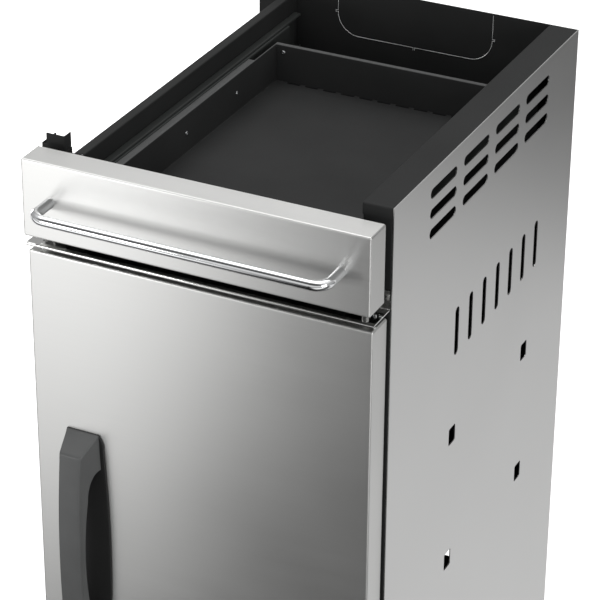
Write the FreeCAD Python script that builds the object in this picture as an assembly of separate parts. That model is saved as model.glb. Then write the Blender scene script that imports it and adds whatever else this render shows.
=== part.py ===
import FreeCAD, Part
import math
import os

os.makedirs("parts", exist_ok=True)
V = FreeCAD.Vector

# All sizes are in millimetres. +X is to the right, +Y to the back, +Z up.
# The origin is on the floor, under the middle of the cart's box.

# Overall sizes
cart_width = 428.0
cart_height = 914.0
carcass_depth = 534.0
caster_height = 92.0
sheet = 1.2
front_sheet = 1.0
bend_radius = 0.6
corner_relief = 4.0
corner_slit = 0.8
rivet_hole_clearance = 0.05
slide_clearance = 0.3
touch = 0.01

# Door and drawer front
front_side_gap = 3.0
drawer_front_height = 94.6
drawer_front_thickness = 35.5
drawer_front_drop = 12.2
drawer_proud = 8.5
door_thickness = 35.0
door_back_gap = 6.5
door_gap = 4.0
front_bend = 2.2
liner_gap = 0.2

# Rails above and below the door
rail_gap = 13.2
rail_hem = 4.2
rail_hem_depth = 6.0
rail_tab_height = 23.5
rail_tab_width = 28.0
lower_rail_flange = 16.0
rail_right_short = 2.0

# Hinge
pivot_inset = 15.0
pivot_setback = 13.0
pin_radius = 2.8
pin_running_gap = 0.05
pin_head_radius = 4.2
pin_head_height = 3.5
pin_reach = 12.0
bush_wall = 2.5
bush_flange = 2.5
bush_flange_thickness = 2.0

# Bar handle on the drawer front
bar_diameter = 12.0
bar_spacing = 353.0
bar_standoff = 39.0
bar_bend = 16.0
bar_rise = 46.8

# Moulded handle on the door
grip_length = 316.0
grip_inset = 62.0
grip_top_drop = 219.3
grip_plate_thickness = 2.5
grip_plate_end_width = 40.0
grip_plate_shoulder_width = 53.0
grip_plate_shoulder = 20.0
grip_plate_middle_width = 64.0
grip_foot_width = 40.0
grip_width = 28.0
grip_end_reach = 29.5
grip_end_drop = 17.0
grip_reach = 39.0
grip_depth = 17.0
grip_foot = 47.0
grip_web = 24.0
grip_edge = 2.5
grip_hand_bow = 6.5
grip_waist_share = 0.28
handle_screw_radius = 2.5
handle_screw_head_radius = 5.0
handle_screw_head_height = 3.0
handle_screw_bite = 10.0
handle_screw_offset = 28.0

# Right side: skin, posts and top rail
post_width = 34.8
post_return = 30.0
top_rail_lip = 12.0
top_rail_front_lip = 14.0

# Vents near the top of the skin
vent_length = 72.0
vent_height = 12.2
vent_columns = 4
vent_rows = 3
vent_column_pitch = 91.3
vent_row_pitch = 24.4
vent_front_margin = 96.0
vent_top_drop = 27.2

# Upright vents lower on the skin
low_vent_count = 7
low_vent_pitch = 40.0
low_vent_width = 11.0
low_vent_length = 62.0
low_vent_middle = 304.5
low_vent_drop = 238.0

# Slots that take accessory hooks
hook_slot_width = 18.0
hook_slot_length = 26.0
hook_slot_columns = 2
hook_slot_rows = 2
hook_slot_front = 182.0
hook_slot_pitch_y = 221.0
hook_slot_drop = 375.5
hook_slot_pitch_z = 174.5

# Left side: wall and front post
left_post_width = 30.0
left_post_return = 14.0
left_post_outer = 30.0
left_post_drop = 2.0
left_post_notch_width = 6.6
left_post_notch_depth = 13.5
left_wall_set_in = 52.5
left_wall_drop = 20.0
left_wall_top_flange = 11.5

# Base
base_skirt = 17.0

# Rear panel
knockout_width = 208.0
knockout_radius = 29.0
knockout_drop = 64.7
knockout_slit = 0.4
knockout_tab = 2.0
knockout_relief = 3.4
hose_cut_width = 120.0
hose_cut_height = 90.0
hose_cut_radius = 20.0
hose_cut_x = 95.0
hose_cut_rise = 20.0

# Drawer tray
tray_sheet = 1.0
tray_rim = 9.8
tray_rim_drop = 34.7
tray_depth = 445.0
tray_inner_height = 48.0
tray_rim_end_gap = 58.0
tray_skirt = 45.0
tray_back_hem = 4.2
tray_rivet_rear = 106.0
tray_rivet_pitch = 127.0
fold_slot_count = 11
fold_slot_pitch = 24.4
fold_slot_length = 18.4
fold_slot_width = 4.0

# Telescopic runners
runner_sheet = 1.2
runner_height = 45.0
runner_thickness = 12.7
runner_outer_depth = 10.2
runner_length = 500.0
runner_fixed_length = 520.0
runner_setback = 3.0
runner_front_lead = 2.0
runner_top_rise = 3.2

# Rivets
rivet_radius = 1.2
rivet_head_radius = 2.5
rivet_head_height = 1.0
rivet_crown_radius = 1.5
rivet_tail_radius = 1.9
rivet_tail_height = 1.5
rail_rivet_inset = 10.5
rear_rivet_rise = 34.0
rear_rivet_drop = 17.0

# Magnet catch
magnet_width = 14.0
magnet_height = 50.0
magnet_air_gap = 0.5
magnet_inset = 8.0

# Casters
caster_inset_x = 62.0
caster_inset_y = 66.0
wheel_diameter = 65.0
wheel_width = 24.0
caster_trail = 22.0
caster_plate_size = 60.0
caster_plate_thickness = 3.0
caster_bolt_spacing = 44.0
caster_bolt_radius = 3.0
caster_bolt_head = 5.5
caster_bolt_head_height = 4.0
race_radius = 23.0
race_height = 6.0
king_pin_radius = 5.0
king_pin_head_radius = 8.0
king_pin_head_height = 3.0
fork_sheet = 2.5
crown_front = 20.0
crown_back = 28.0
fork_foot_radius = 10.0
fork_wheel_gap = 1.5
axle_radius = 4.0
axle_head_radius = 7.0
axle_head_height = 3.0
hub_side_gap = 0.3
hub_boss_radius = 9.0
hub_web = 6.0
hub_rim_inner = 20.0
hub_rim_outer = 25.0
tyre_edge = 4.0
pedal_pin_radius = 2.5
pedal_hub_radius = 4.0
pedal_pivot_y = 20.0
pedal_pivot_drop = 9.2
pedal_reach = 30.0
pedal_arm_width = 14.0
pedal_arm_thickness = 3.0
pedal_arm_fall = 6.0
pedal_pad_width = 30.0
pedal_pad_length = 14.0
pedal_pad_thickness = 4.0

# Planes that follow from the sizes
right_x = cart_width / 2
left_x = -cart_width / 2
skin_inner_x = right_x - sheet
right_post_x = skin_inner_x - post_width
left_wall_x = left_x + left_wall_set_in
rail_right = right_x - rail_right_short
drawer_x = (left_wall_x + right_post_x) / 2

bar_ahead = door_back_gap + door_thickness + drawer_proud + bar_standoff + bar_diameter / 2
cart_depth = bar_ahead + carcass_depth + rivet_head_height
carcass_y = bar_ahead - cart_depth / 2
back_y = carcass_y + carcass_depth
panel_y = back_y - sheet
door_back_y = carcass_y - door_back_gap
door_face_y = door_back_y - door_thickness
drawer_face_y = door_face_y - drawer_proud
drawer_back_y = drawer_face_y + drawer_front_thickness

drawer_front_top = cart_height - drawer_front_drop
drawer_front_bottom = drawer_front_top - drawer_front_height
rail_top = drawer_front_bottom - rail_gap
rail_bottom = rail_top - rail_hem
door_top = rail_bottom - door_gap
base_top = caster_height + sheet
base_bottom = caster_height - base_skirt
lower_rail_top = base_top
door_bottom = lower_rail_top + door_gap
door_height = door_top - door_bottom
door_left = left_x + front_side_gap
door_right = right_x - front_side_gap
pivot_x = door_right - pivot_inset
pivot_y = door_face_y + pivot_setback
pin_hole_radius = pin_radius + pin_running_gap
bush_radius = pin_hole_radius + bush_wall
bush_hole_radius = bush_radius + rivet_hole_clearance

left_wall_top = cart_height - left_wall_drop
left_post_inner = left_x + left_post_width
tray_rim_top = drawer_front_top - tray_rim_drop
tray_floor = tray_rim_top - tray_inner_height
tray_back_y = drawer_back_y + tray_depth
tray_left = left_wall_x + runner_thickness
tray_right = right_post_x - runner_thickness
tray_inner_left = tray_left + tray_rim
tray_inner_right = tray_right - tray_rim
runner_middle_z = tray_rim_top + runner_top_rise - runner_height / 2
runner_y = carcass_y + runner_setback
grip_x = door_left + grip_inset
grip_z = door_top - grip_top_drop - grip_length / 2
grip_y = door_face_y - grip_plate_thickness
bar_z = drawer_front_bottom + bar_rise

parts = {}


def block(x0, x1, y0, y1, z0, z1):
    """A box between two corners."""
    return Part.makeBox(x1 - x0, y1 - y0, z1 - z0, V(x0, y0, z0))


def point(plane, a, b, depth):
    """A point of a plane's own two coordinates, at a depth along its normal."""
    if plane == "XY":
        return V(a, b, depth)
    if plane == "XZ":
        return V(a, depth, b)
    return V(depth, a, b)


def normal(plane):
    """The direction in which a profile on the plane is extruded."""
    return {"XY": V(0, 0, 1), "XZ": V(0, 1, 0), "YZ": V(1, 0, 0)}[plane]


def extrude(edges, plane, start, end):
    """A solid from a closed outline drawn at the start depth."""
    return Part.Face(Part.Wire(edges)).extrude(normal(plane) * (end - start))


def prism(outline, plane, start, end):
    """A solid from a polygon."""
    corners = [point(plane, a, b, start) for a, b in outline]
    return extrude(Part.makePolygon(corners + corners[:1]).Edges, plane, start, end)


def offset_path(path, distance):
    """The open path moved to its left, with mitred corners."""
    lines = []
    for (a0, b0), (a1, b1) in zip(path, path[1:]):
        length = math.hypot(a1 - a0, b1 - b0)
        da = (a1 - a0) / length
        db = (b1 - b0) / length
        lines.append((a0 - db * distance, b0 + da * distance, da, db))
    moved = [lines[0][:2]]
    for (a0, b0, da0, db0), (a1, b1, da1, db1) in zip(lines, lines[1:]):
        cross = da0 * db1 - db0 * da1
        along = ((a1 - a0) * db1 - (b1 - b0) * da1) / cross
        moved.append((a0 + da0 * along, b0 + db0 * along))
    (a0, b0), (a1, b1) = path[-2:]
    da, db = lines[-1][2:]
    moved.append((a1 - db * distance, b1 + da * distance))
    return moved


def rounded_edges(points, radii):
    """Lines through the points, with an arc of the given radius at each inner point."""
    edges = []
    start = points[0]
    for before, corner, after, radius in zip(points, points[1:], points[2:], radii):
        along = (corner - before).normalize()
        onward = (after - corner).normalize()
        half_turn = along.getAngle(onward) / 2
        reach = radius * math.tan(half_turn)
        inward = (onward - along).normalize()
        first = corner - along * reach
        middle = corner + inward * (radius / math.cos(half_turn) - radius)
        last = corner + onward * reach
        edges.append(Part.LineSegment(start, first).toShape())
        edges.append(Part.Arc(first, middle, last).toShape())
        start = last
    edges.append(Part.LineSegment(start, points[-1]).toShape())
    return edges


def folded(path, thickness, plane, start, end):
    """A sheet with round bends: one face follows the path, the metal lies to its left."""
    outside = bend_radius + abs(thickness)
    near_radii = []
    far_radii = []
    for (a0, b0), (a1, b1), (a2, b2) in zip(path, path[1:], path[2:]):
        turn = (a1 - a0) * (b2 - b1) - (b1 - b0) * (a2 - a1)
        towards_metal = turn * thickness > 0
        near_radii.append(outside if towards_metal else bend_radius)
        far_radii.append(bend_radius if towards_metal else outside)
    near = [point(plane, a, b, start) for a, b in path]
    far = [point(plane, a, b, start) for a, b in offset_path(path, thickness)]
    edges = rounded_edges(near, near_radii)
    edges.append(Part.LineSegment(near[-1], far[-1]).toShape())
    edges += rounded_edges(far[::-1], far_radii[::-1])
    edges.append(Part.LineSegment(far[0], near[0]).toShape())
    return extrude(edges, plane, start, end)


def obround(plane, a, b, length_a, length_b, start, end):
    """A slot with round ends, centred at a, b."""
    radius = min(length_a, length_b) / 2
    half_a = length_a / 2 - radius
    half_b = length_b / 2 - radius
    if half_a > half_b:
        centres = [(a + half_a, b), (a - half_a, b)]
        tips = [(a + length_a / 2, b), (a - length_a / 2, b)]
        side = (0, radius)
    else:
        centres = [(a, b - half_b), (a, b + half_b)]
        tips = [(a, b - length_b / 2), (a, b + length_b / 2)]
        side = (radius, 0)
    ends = []
    for sign, (ca, cb), tip in zip((1, -1), centres, tips):
        first = point(plane, ca - side[0] * sign, cb - side[1] * sign, start)
        last = point(plane, ca + side[0] * sign, cb + side[1] * sign, start)
        ends.append((first, point(plane, *tip, start), last))
    edges = []
    for (first, tip, last), (following, _, _) in zip(ends, ends[1:] + ends[:1]):
        edges.append(Part.Arc(first, tip, last).toShape())
        edges.append(Part.LineSegment(last, following).toShape())
    return extrude(edges, plane, start, end)


def rounded_block(plane, a0, a1, b0, b1, radius, start, end):
    """A box with its edges along the plane's normal rounded."""
    solid = prism([(a0, b0), (a1, b0), (a1, b1), (a0, b1)], plane, start, end)
    along = normal(plane)
    edges = [e for e in solid.Edges if e.tangentAt(0).cross(along).Length < touch]
    return solid.makeFillet(radius, edges)


def edges_at(solid, corner):
    """The edges that meet at a corner."""
    return [e for e in solid.Edges if e.distToShape(Part.Vertex(corner))[0] < touch]


def cylinder(radius, start, along, length):
    """A round bar from a point, in a direction."""
    return Part.makeCylinder(radius, length, start, along)


def tube(outer, inner, start, along, length):
    """A sleeve from a point, in a direction."""
    return cylinder(outer, start, along, length).cut(cylinder(inner, start, along, length))


def fuse(solids):
    """The solids joined into one, with seams between flush faces removed."""
    return solids[0].multiFuse(solids[1:]).removeSplitter()


def cut(solid, tools):
    """The solid with the tools taken away."""
    return solid.cut(Part.makeCompound(tools))


def rivet(seat, along, grip):
    """A blind rivet: its head sits at the seat, its shank goes along."""
    head = Part.makeCone(rivet_head_radius, rivet_crown_radius, rivet_head_height, seat, along * -1)
    shank = cylinder(rivet_radius, seat, along, grip)
    tail = cylinder(rivet_tail_radius, seat + along * grip, along, rivet_tail_height)
    return fuse([head, shank, tail])


def rivet_hole(seat, along, grip):
    """The hole that a rivet's shank needs."""
    return cylinder(rivet_radius + rivet_hole_clearance, seat, along, grip)


def pan(x0, x1, z0, z1, y0, depth, wall):
    """A front panel: a face with four sides folded back, and rounded bends."""
    back = y0 + depth
    outer = block(x0, x1, y0, back, z0, z1)
    inner = block(x0 + wall, x1 - wall, y0 + wall, back, z0 + wall, z1 - wall)
    outer = outer.makeFillet(front_bend, [e for e in outer.Edges if e.BoundBox.YMin < back - touch])
    inner = inner.makeFillet(front_bend - wall, [e for e in inner.Edges if e.BoundBox.YMin < back - touch])
    return outer.cut(inner)


# Right side skin: upper vents, a row of upright vents and the hook slots
def make_right_skin():
    skin = block(skin_inner_x, right_x, carcass_y, back_y, base_bottom, cart_height)
    tools = []
    for column in range(vent_columns):
        middle_y = carcass_y + vent_front_margin + vent_length / 2 + column * vent_column_pitch
        for row in range(vent_rows):
            middle_z = cart_height - vent_top_drop - row * vent_row_pitch
            tools.append(obround("YZ", middle_y, middle_z, vent_length, vent_height,
                                 skin_inner_x, right_x))
    for i in range(low_vent_count):
        middle_y = carcass_y + low_vent_middle + (i - (low_vent_count - 1) / 2) * low_vent_pitch
        middle_z = cart_height - low_vent_drop
        tools.append(obround("YZ", middle_y, middle_z, low_vent_width, low_vent_length,
                             skin_inner_x, right_x))
    for column in range(hook_slot_columns):
        middle_y = carcass_y + hook_slot_front + column * hook_slot_pitch_y
        for row in range(hook_slot_rows):
            middle_z = cart_height - hook_slot_drop - row * hook_slot_pitch_z
            tools.append(obround("YZ", middle_y, middle_z, hook_slot_width, hook_slot_length,
                                 skin_inner_x, right_x))
    parts["right_side_skin"] = cut(skin, tools)


# Right frame: two posts folded to a channel, and the rail on top of them
def make_right_frame():
    post_top = cart_height - sheet - bend_radius
    lip_bottom = cart_height - top_rail_front_lip
    front_path = [(right_post_x, carcass_y + post_return), (right_post_x, carcass_y),
                  (skin_inner_x, carcass_y), (skin_inner_x, carcass_y + post_return)]
    front_post = folded(front_path, sheet, "XY", base_top, post_top)
    seat = block(right_post_x, skin_inner_x, carcass_y, carcass_y + sheet + bend_radius,
                 lip_bottom, cart_height)
    parts["right_front_post"] = front_post.cut(seat)

    rear_path = [(right_post_x, panel_y - post_return), (right_post_x, panel_y),
                 (skin_inner_x, panel_y), (skin_inner_x, panel_y - post_return)]
    parts["right_rear_post"] = folded(rear_path, -sheet, "XY", base_top, post_top)

    rail_left = right_post_x - sheet
    outer = block(rail_left, skin_inner_x, carcass_y, panel_y, lip_bottom, cart_height)
    outer_corner = V(rail_left, carcass_y, cart_height)
    outer = outer.makeFillet(bend_radius + sheet, edges_at(outer, outer_corner))
    inner = block(right_post_x, skin_inner_x, carcass_y + sheet, panel_y, lip_bottom, cart_height - sheet)
    inner_corner = V(right_post_x, carcass_y + sheet, cart_height - sheet)
    inner = inner.makeFillet(bend_radius, edges_at(inner, inner_corner))
    lip_trim = block(rail_left, right_post_x, carcass_y + sheet + bend_radius, panel_y,
                     lip_bottom, cart_height - top_rail_lip)
    parts["right_top_rail"] = cut(outer, [inner, lip_trim])


# Left side: the wall is folded outwards along its front, back and top edges
def make_left_side():
    wall_path = [(left_post_inner, carcass_y + left_post_return), (left_post_inner, carcass_y),
                 (left_wall_x, carcass_y), (left_wall_x, panel_y), (left_x, panel_y)]
    relief_z = left_wall_top - corner_relief
    wall = folded(wall_path, sheet, "XY", base_top, relief_z)
    flange_path = [(left_wall_x, relief_z), (left_wall_x, left_wall_top),
                   (left_wall_x - left_wall_top_flange, left_wall_top)]
    flange = folded(flange_path, sheet, "XZ", carcass_y + corner_relief, panel_y - corner_relief)
    corner_path = wall_path[:3] + [(left_wall_x, carcass_y + corner_relief - corner_slit)]
    corner = folded(corner_path, sheet, "XY", relief_z, left_wall_top)
    parts["left_side_wall"] = fuse([wall, flange, corner])

    post_path = [(left_x, carcass_y + left_post_outer), (left_x, carcass_y),
                 (left_post_inner, carcass_y), (left_post_inner, carcass_y + left_post_return)]
    post_top = cart_height - left_post_drop
    post = folded(post_path, sheet, "XY", base_top, post_top)
    notch = block(left_x, left_x + left_post_notch_width, carcass_y, carcass_y + left_post_outer,
                  post_top - left_post_notch_depth, post_top)
    parts["left_front_post"] = post.cut(notch)


# Base: a floor with its four edges folded down
def make_base():
    outer = block(left_x, skin_inner_x, carcass_y, panel_y, base_bottom, base_top)
    inner = block(left_x + sheet, skin_inner_x - sheet, carcass_y + sheet, panel_y - sheet,
                  base_bottom, base_top - sheet)
    above_rim = base_bottom + touch
    outer = outer.makeFillet(bend_radius + sheet, [e for e in outer.Edges if e.BoundBox.ZMax > above_rim])
    inner = inner.makeFillet(bend_radius, [e for e in inner.Edges if e.BoundBox.ZMax > above_rim])
    parts["base_pan"] = outer.cut(inner)


# Rear panel: a slit outlines a break-out at the top, and a hose passes through below
def make_rear_panel():
    panel = block(left_x, skin_inner_x, panel_y, back_y, base_bottom, cart_height)
    low = cart_height - knockout_drop
    half = knockout_width / 2
    beyond = cart_height + knockout_radius
    ring_outer = rounded_block("XZ", -half, half, low, beyond, knockout_radius, panel_y, back_y)
    ring_inner = rounded_block("XZ", -half + knockout_slit, half - knockout_slit, low + knockout_slit, beyond,
                               knockout_radius - knockout_slit, panel_y, back_y)
    side_tab = low + knockout_radius
    tab_half = knockout_tab / 2
    bridges = [block(-half, half, panel_y, back_y, cart_height - knockout_tab, beyond),
               block(-tab_half, tab_half, panel_y, back_y, low, low + knockout_slit),
               block(-half, half, panel_y, back_y, side_tab, side_tab + knockout_tab)]
    slit = cut(ring_outer.cut(ring_inner), bridges)
    reliefs = []
    relief_length = knockout_relief + knockout_slit
    for x in (-tab_half - knockout_slit, tab_half):
        z = low - knockout_relief
        reliefs.append(block(x, x + knockout_slit, panel_y, back_y, z, z + relief_length))
    for z in (side_tab - knockout_slit, side_tab + knockout_tab):
        for x in (-half - knockout_relief, half - knockout_slit):
            reliefs.append(block(x, x + relief_length, panel_y, back_y, z, z + knockout_slit))
    hose_bottom = base_top + hose_cut_rise
    hose = rounded_block("XZ", hose_cut_x - hose_cut_width / 2, hose_cut_x + hose_cut_width / 2,
                         hose_bottom, hose_bottom + hose_cut_height, hose_cut_radius, panel_y, back_y)
    parts["rear_panel"] = cut(panel, [slit, hose] + reliefs)


# Rails above and below the door: hemmed front edge, hinge holes at both ends
def make_rails():
    upper_path = [(door_face_y + rail_hem_depth, rail_bottom), (door_face_y, rail_bottom),
                  (door_face_y, rail_top)]
    flat_end = [(carcass_y, rail_top)]
    tab_end = [(carcass_y - sheet, rail_top), (carcass_y - sheet, rail_top + rail_tab_height)]
    left_tab_x = left_x + rail_tab_width
    right_tab_x = rail_right - rail_tab_width
    upper = fuse([folded(upper_path + tab_end, -sheet, "YZ", left_x, left_tab_x),
                  folded(upper_path + flat_end, -sheet, "YZ", left_tab_x, right_tab_x),
                  folded(upper_path + tab_end, -sheet, "YZ", right_tab_x, rail_right)])
    lower_path = [(door_face_y + rail_hem_depth, lower_rail_top - rail_hem),
                  (door_face_y, lower_rail_top - rail_hem), (door_face_y, lower_rail_top),
                  (carcass_y, lower_rail_top), (carcass_y, lower_rail_top - lower_rail_flange)]
    lower = folded(lower_path, -sheet, "YZ", left_x, rail_right)
    holes = []
    for x in (pivot_x, -pivot_x):
        holes.append(cylinder(pin_hole_radius, V(x, pivot_y, base_bottom), V(0, 0, 1), cart_height))
    parts["front_rail"] = cut(upper, holes)
    parts["lower_rail"] = cut(lower, holes)


# Hinge: pins fixed in the rails, bushes fixed in the door
def make_hinge():
    up = V(0, 0, 1)
    down = V(0, 0, -1)
    top_head = cylinder(pin_head_radius, V(pivot_x, pivot_y, rail_top), up, pin_head_height)
    top_shank_length = rail_top - door_top + pin_reach
    top_shank = cylinder(pin_radius, V(pivot_x, pivot_y, rail_top), down, top_shank_length)
    parts["hinge_pin_upper"] = fuse([top_head, top_shank])

    low_under = lower_rail_top - sheet
    low_head = cylinder(pin_head_radius, V(pivot_x, pivot_y, low_under), down, pin_head_height)
    low_shank_length = door_bottom - low_under + pin_reach
    low_shank = cylinder(pin_radius, V(pivot_x, pivot_y, low_under), up, low_shank_length)
    shoulder = cylinder(bush_radius, V(pivot_x, pivot_y, lower_rail_top), up, door_gap - slide_clearance)
    parts["hinge_pin_lower"] = fuse([low_head, low_shank, shoulder])

    for name, z, inward in (("hinge_bush_upper", door_top, down), ("hinge_bush_lower", door_bottom, up)):
        seat = V(pivot_x, pivot_y, z)
        sleeve = tube(bush_radius, pin_hole_radius, seat, inward, pin_reach)
        flange = tube(bush_radius + bush_flange, pin_hole_radius, seat + inward * front_sheet, inward,
                      bush_flange_thickness)
        parts[name] = fuse([sleeve, flange])


# Screws that hold a handle from inside the front panel
def handle_screw(x, z, sheet_back_y, tip_y):
    head = cylinder(handle_screw_head_radius, V(x, sheet_back_y, z), V(0, 1, 0), handle_screw_head_height)
    shank = cylinder(handle_screw_radius, V(x, tip_y, z), V(0, 1, 0), sheet_back_y - tip_y)
    return fuse([head, shank])


def handle_screw_hole(x, z, sheet_back_y, tip_y):
    radius = handle_screw_radius + rivet_hole_clearance
    return cylinder(radius, V(x, tip_y, z), V(0, 1, 0), sheet_back_y - tip_y)


# Door: outer pan, liner in its back, and the moulded handle on its plate
def make_door():
    screw_reach = grip_length / 2 - handle_screw_offset
    screw_rows = (grip_z + screw_reach, grip_z - screw_reach)
    inside_y = door_face_y + front_sheet
    tip_y = grip_y - handle_screw_bite
    holes = [handle_screw_hole(grip_x, z, inside_y, tip_y) for z in screw_rows]
    screws = [handle_screw(grip_x, z, inside_y, tip_y) for z in screw_rows]
    parts["door_handle_screws"] = Part.makeCompound(screws)

    skin = pan(door_left, door_right, door_bottom, door_top, door_face_y, door_thickness, front_sheet)
    bush_hole = cylinder(bush_hole_radius, V(pivot_x, pivot_y, door_bottom), V(0, 0, 1), door_height)
    parts["door_skin"] = cut(skin, holes + [bush_hole])
    margin = front_sheet + liner_gap
    parts["door_liner"] = rounded_block("XZ", door_left + margin, door_right - margin, door_bottom + margin,
                                        door_top - margin, front_bend, door_back_y - front_sheet, door_back_y)

    plate = make_grip_plate()
    parts["door_handle_plate"] = cut(plate, holes)
    parts["door_handle"] = cut(make_grip(), holes)


def make_grip_plate():
    """The flat plate behind the handle: straight on the left, bowed with round shoulders on the right."""
    half = grip_length / 2
    end = grip_plate_end_width / 2
    shoulder = grip_plate_shoulder_width / 2
    middle = grip_plate_middle_width / 2
    shoulder_z = half - grip_plate_shoulder
    between = end + (shoulder - end) * math.sin(math.radians(45))
    between_z = shoulder_z + grip_plate_shoulder * math.sin(math.radians(45))

    def at(x, z):
        return V(grip_x + x, grip_y, grip_z + z)

    edges = [Part.LineSegment(at(-end, half), at(end, half)).toShape(),
             Part.Arc(at(end, half), at(between, between_z), at(shoulder, shoulder_z)).toShape(),
             Part.Arc(at(shoulder, shoulder_z), at(middle, 0), at(shoulder, -shoulder_z)).toShape(),
             Part.Arc(at(shoulder, -shoulder_z), at(between, -between_z), at(end, -half)).toShape(),
             Part.LineSegment(at(end, -half), at(-end, -half)).toShape(),
             Part.LineSegment(at(-end, -half), at(-end, half)).toShape()]
    return extrude(edges, "XZ", grip_y, door_face_y)


def make_grip():
    """The bowed grip on two feet: a side outline, narrowed towards the front."""
    half = grip_length / 2
    start_x = grip_x - grip_foot_width / 2
    end_x = grip_x + grip_foot_width / 2
    hand_y = grip_reach - grip_depth
    foot_z = half - grip_foot
    web_z = foot_z - grip_web
    corner = math.sin(math.radians(45))
    web_y = hand_y - grip_hand_bow

    def at(reach, z):
        return V(start_x, grip_y - reach, grip_z + z)

    web_middle = (web_y * corner, web_z + grip_web * corner)
    edges = [Part.LineSegment(at(0, half), at(grip_end_reach, half - grip_end_drop)).toShape(),
             Part.Arc(at(grip_end_reach, half - grip_end_drop), at(grip_reach, 0),
                      at(grip_end_reach, grip_end_drop - half)).toShape(),
             Part.LineSegment(at(grip_end_reach, grip_end_drop - half), at(0, -half)).toShape(),
             Part.LineSegment(at(0, -half), at(0, -foot_z)).toShape(),
             Part.Arc(at(0, -foot_z), at(web_middle[0], -web_middle[1]), at(web_y, -web_z)).toShape(),
             Part.Arc(at(web_y, -web_z), at(hand_y, 0), at(web_y, web_z)).toShape(),
             Part.Arc(at(web_y, web_z), at(*web_middle), at(0, foot_z)).toShape(),
             Part.LineSegment(at(0, foot_z), at(0, half)).toShape()]
    side = extrude(edges, "YZ", start_x, end_x)
    foot = grip_foot_width / 2
    hand = grip_width / 2
    waist = hand + (foot - hand) * grip_waist_share
    far = grip_reach + grip_edge

    def across(x, reach):
        return V(grip_x + x, grip_y - reach, grip_z - half)

    taper = [Part.Arc(across(-foot, 0), across(-waist, web_y), across(-hand, far)).toShape(),
             Part.LineSegment(across(-hand, far), across(hand, far)).toShape(),
             Part.Arc(across(hand, far), across(waist, web_y), across(foot, 0)).toShape(),
             Part.LineSegment(across(foot, 0), across(-foot, 0)).toShape()]
    grip = side.common(extrude(taper, "XY", grip_z - half, grip_z + half))
    front_edges = [e for e in grip.Edges if e.BoundBox.YMin < grip_y - hand_y - grip_edge]
    return grip.makeFillet(grip_edge, front_edges)


# Drawer front: outer pan, liner, and the round bar handle
def make_drawer_front():
    holes = []
    screws = []
    inside_y = drawer_face_y + front_sheet
    tip_y = drawer_face_y - handle_screw_bite
    for x in (-bar_spacing / 2, bar_spacing / 2):
        holes.append(handle_screw_hole(x, bar_z, inside_y, tip_y))
        screws.append(handle_screw(x, bar_z, inside_y, tip_y))
    front = pan(door_left, door_right, drawer_front_bottom, drawer_front_top, drawer_face_y,
                drawer_front_thickness, front_sheet)
    parts["drawer_front"] = cut(front, holes)
    margin = front_sheet + liner_gap
    parts["drawer_front_liner"] = rounded_block("XZ", door_left + margin, door_right - margin,
                                                drawer_front_bottom + margin, drawer_front_top - margin,
                                                front_bend, drawer_back_y - front_sheet, drawer_back_y)
    parts["bar_handle"] = cut(make_bar(), holes)
    parts["bar_handle_screws"] = Part.makeCompound(screws)


def make_bar():
    """A round bar with its two ends bent back to the drawer front."""
    leg_x = bar_spacing / 2
    bar_y = drawer_face_y - bar_standoff

    def at(x, y):
        return V(x, y, bar_z)

    corners = [at(-leg_x, drawer_face_y), at(-leg_x, bar_y), at(leg_x, bar_y), at(leg_x, drawer_face_y)]
    path = rounded_edges(corners, [bar_bend, bar_bend])
    section = Part.Wire(Part.makeCircle(bar_diameter / 2, corners[0], V(0, 1, 0)))
    return Part.Wire(path).makePipeShell([section], True, False)


# Drawer tray: one folded sheet with boxed sides, a front and a back wall, and its rivets
def make_tray():
    skirt_bottom = tray_rim_top - tray_skirt
    path = [(tray_left, skirt_bottom), (tray_left, tray_rim_top), (tray_inner_left, tray_rim_top),
            (tray_inner_left, tray_floor), (tray_inner_right, tray_floor), (tray_inner_right, tray_rim_top),
            (tray_right, tray_rim_top), (tray_right, skirt_bottom)]
    body = folded(path, -tray_sheet, "XZ", drawer_back_y, tray_back_y)
    rim_end_y = tray_back_y - tray_rim_end_gap
    wall_x0 = tray_inner_left - tray_sheet
    wall_x1 = tray_inner_right + tray_sheet
    body = cut(body, [block(tray_left, wall_x0, rim_end_y, tray_back_y, skirt_bottom, tray_rim_top),
                      block(wall_x1, tray_right, rim_end_y, tray_back_y, skirt_bottom, tray_rim_top)])
    under = tray_floor - tray_sheet
    front = block(wall_x0, wall_x1, drawer_back_y, drawer_back_y + tray_sheet, under, tray_rim_top)
    back_path = [(tray_back_y - tray_sheet, under), (tray_back_y - tray_sheet, tray_rim_top),
                 (tray_back_y + tray_back_hem, tray_rim_top)]
    back = folded(back_path, -tray_sheet, "YZ", wall_x0, wall_x1)
    tray = fuse([body, front, back])

    tools = []
    slot_y = tray_back_y - tray_sheet - fold_slot_width / 2
    for i in range(fold_slot_count):
        x = drawer_x + (i - (fold_slot_count - 1) / 2) * fold_slot_pitch
        tools.append(obround("XY", x, slot_y, fold_slot_length, fold_slot_width, under, tray_floor))
    rivets = []
    mid_z = (tray_floor + tray_rim_top) / 2
    rear_rivet_y = tray_back_y - tray_rivet_rear
    for y in (rear_rivet_y - tray_rivet_pitch, rear_rivet_y):
        for x, along in ((tray_inner_left, V(-1, 0, 0)), (tray_inner_right, V(1, 0, 0))):
            rivets.append((V(x, y, mid_z), along))
    for x in (tray_inner_left + tray_rim, tray_inner_right - tray_rim):
        rivets.append((V(x, tray_back_y - tray_sheet, tray_rim_top - tray_rim), V(0, 1, 0)))
    tools += [rivet_hole(seat, along, tray_sheet) for seat, along in rivets]
    parts["drawer_tray"] = cut(tray, tools)
    parts["drawer_rivets"] = Part.makeCompound([rivet(seat, along, tray_sheet) for seat, along in rivets])


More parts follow.
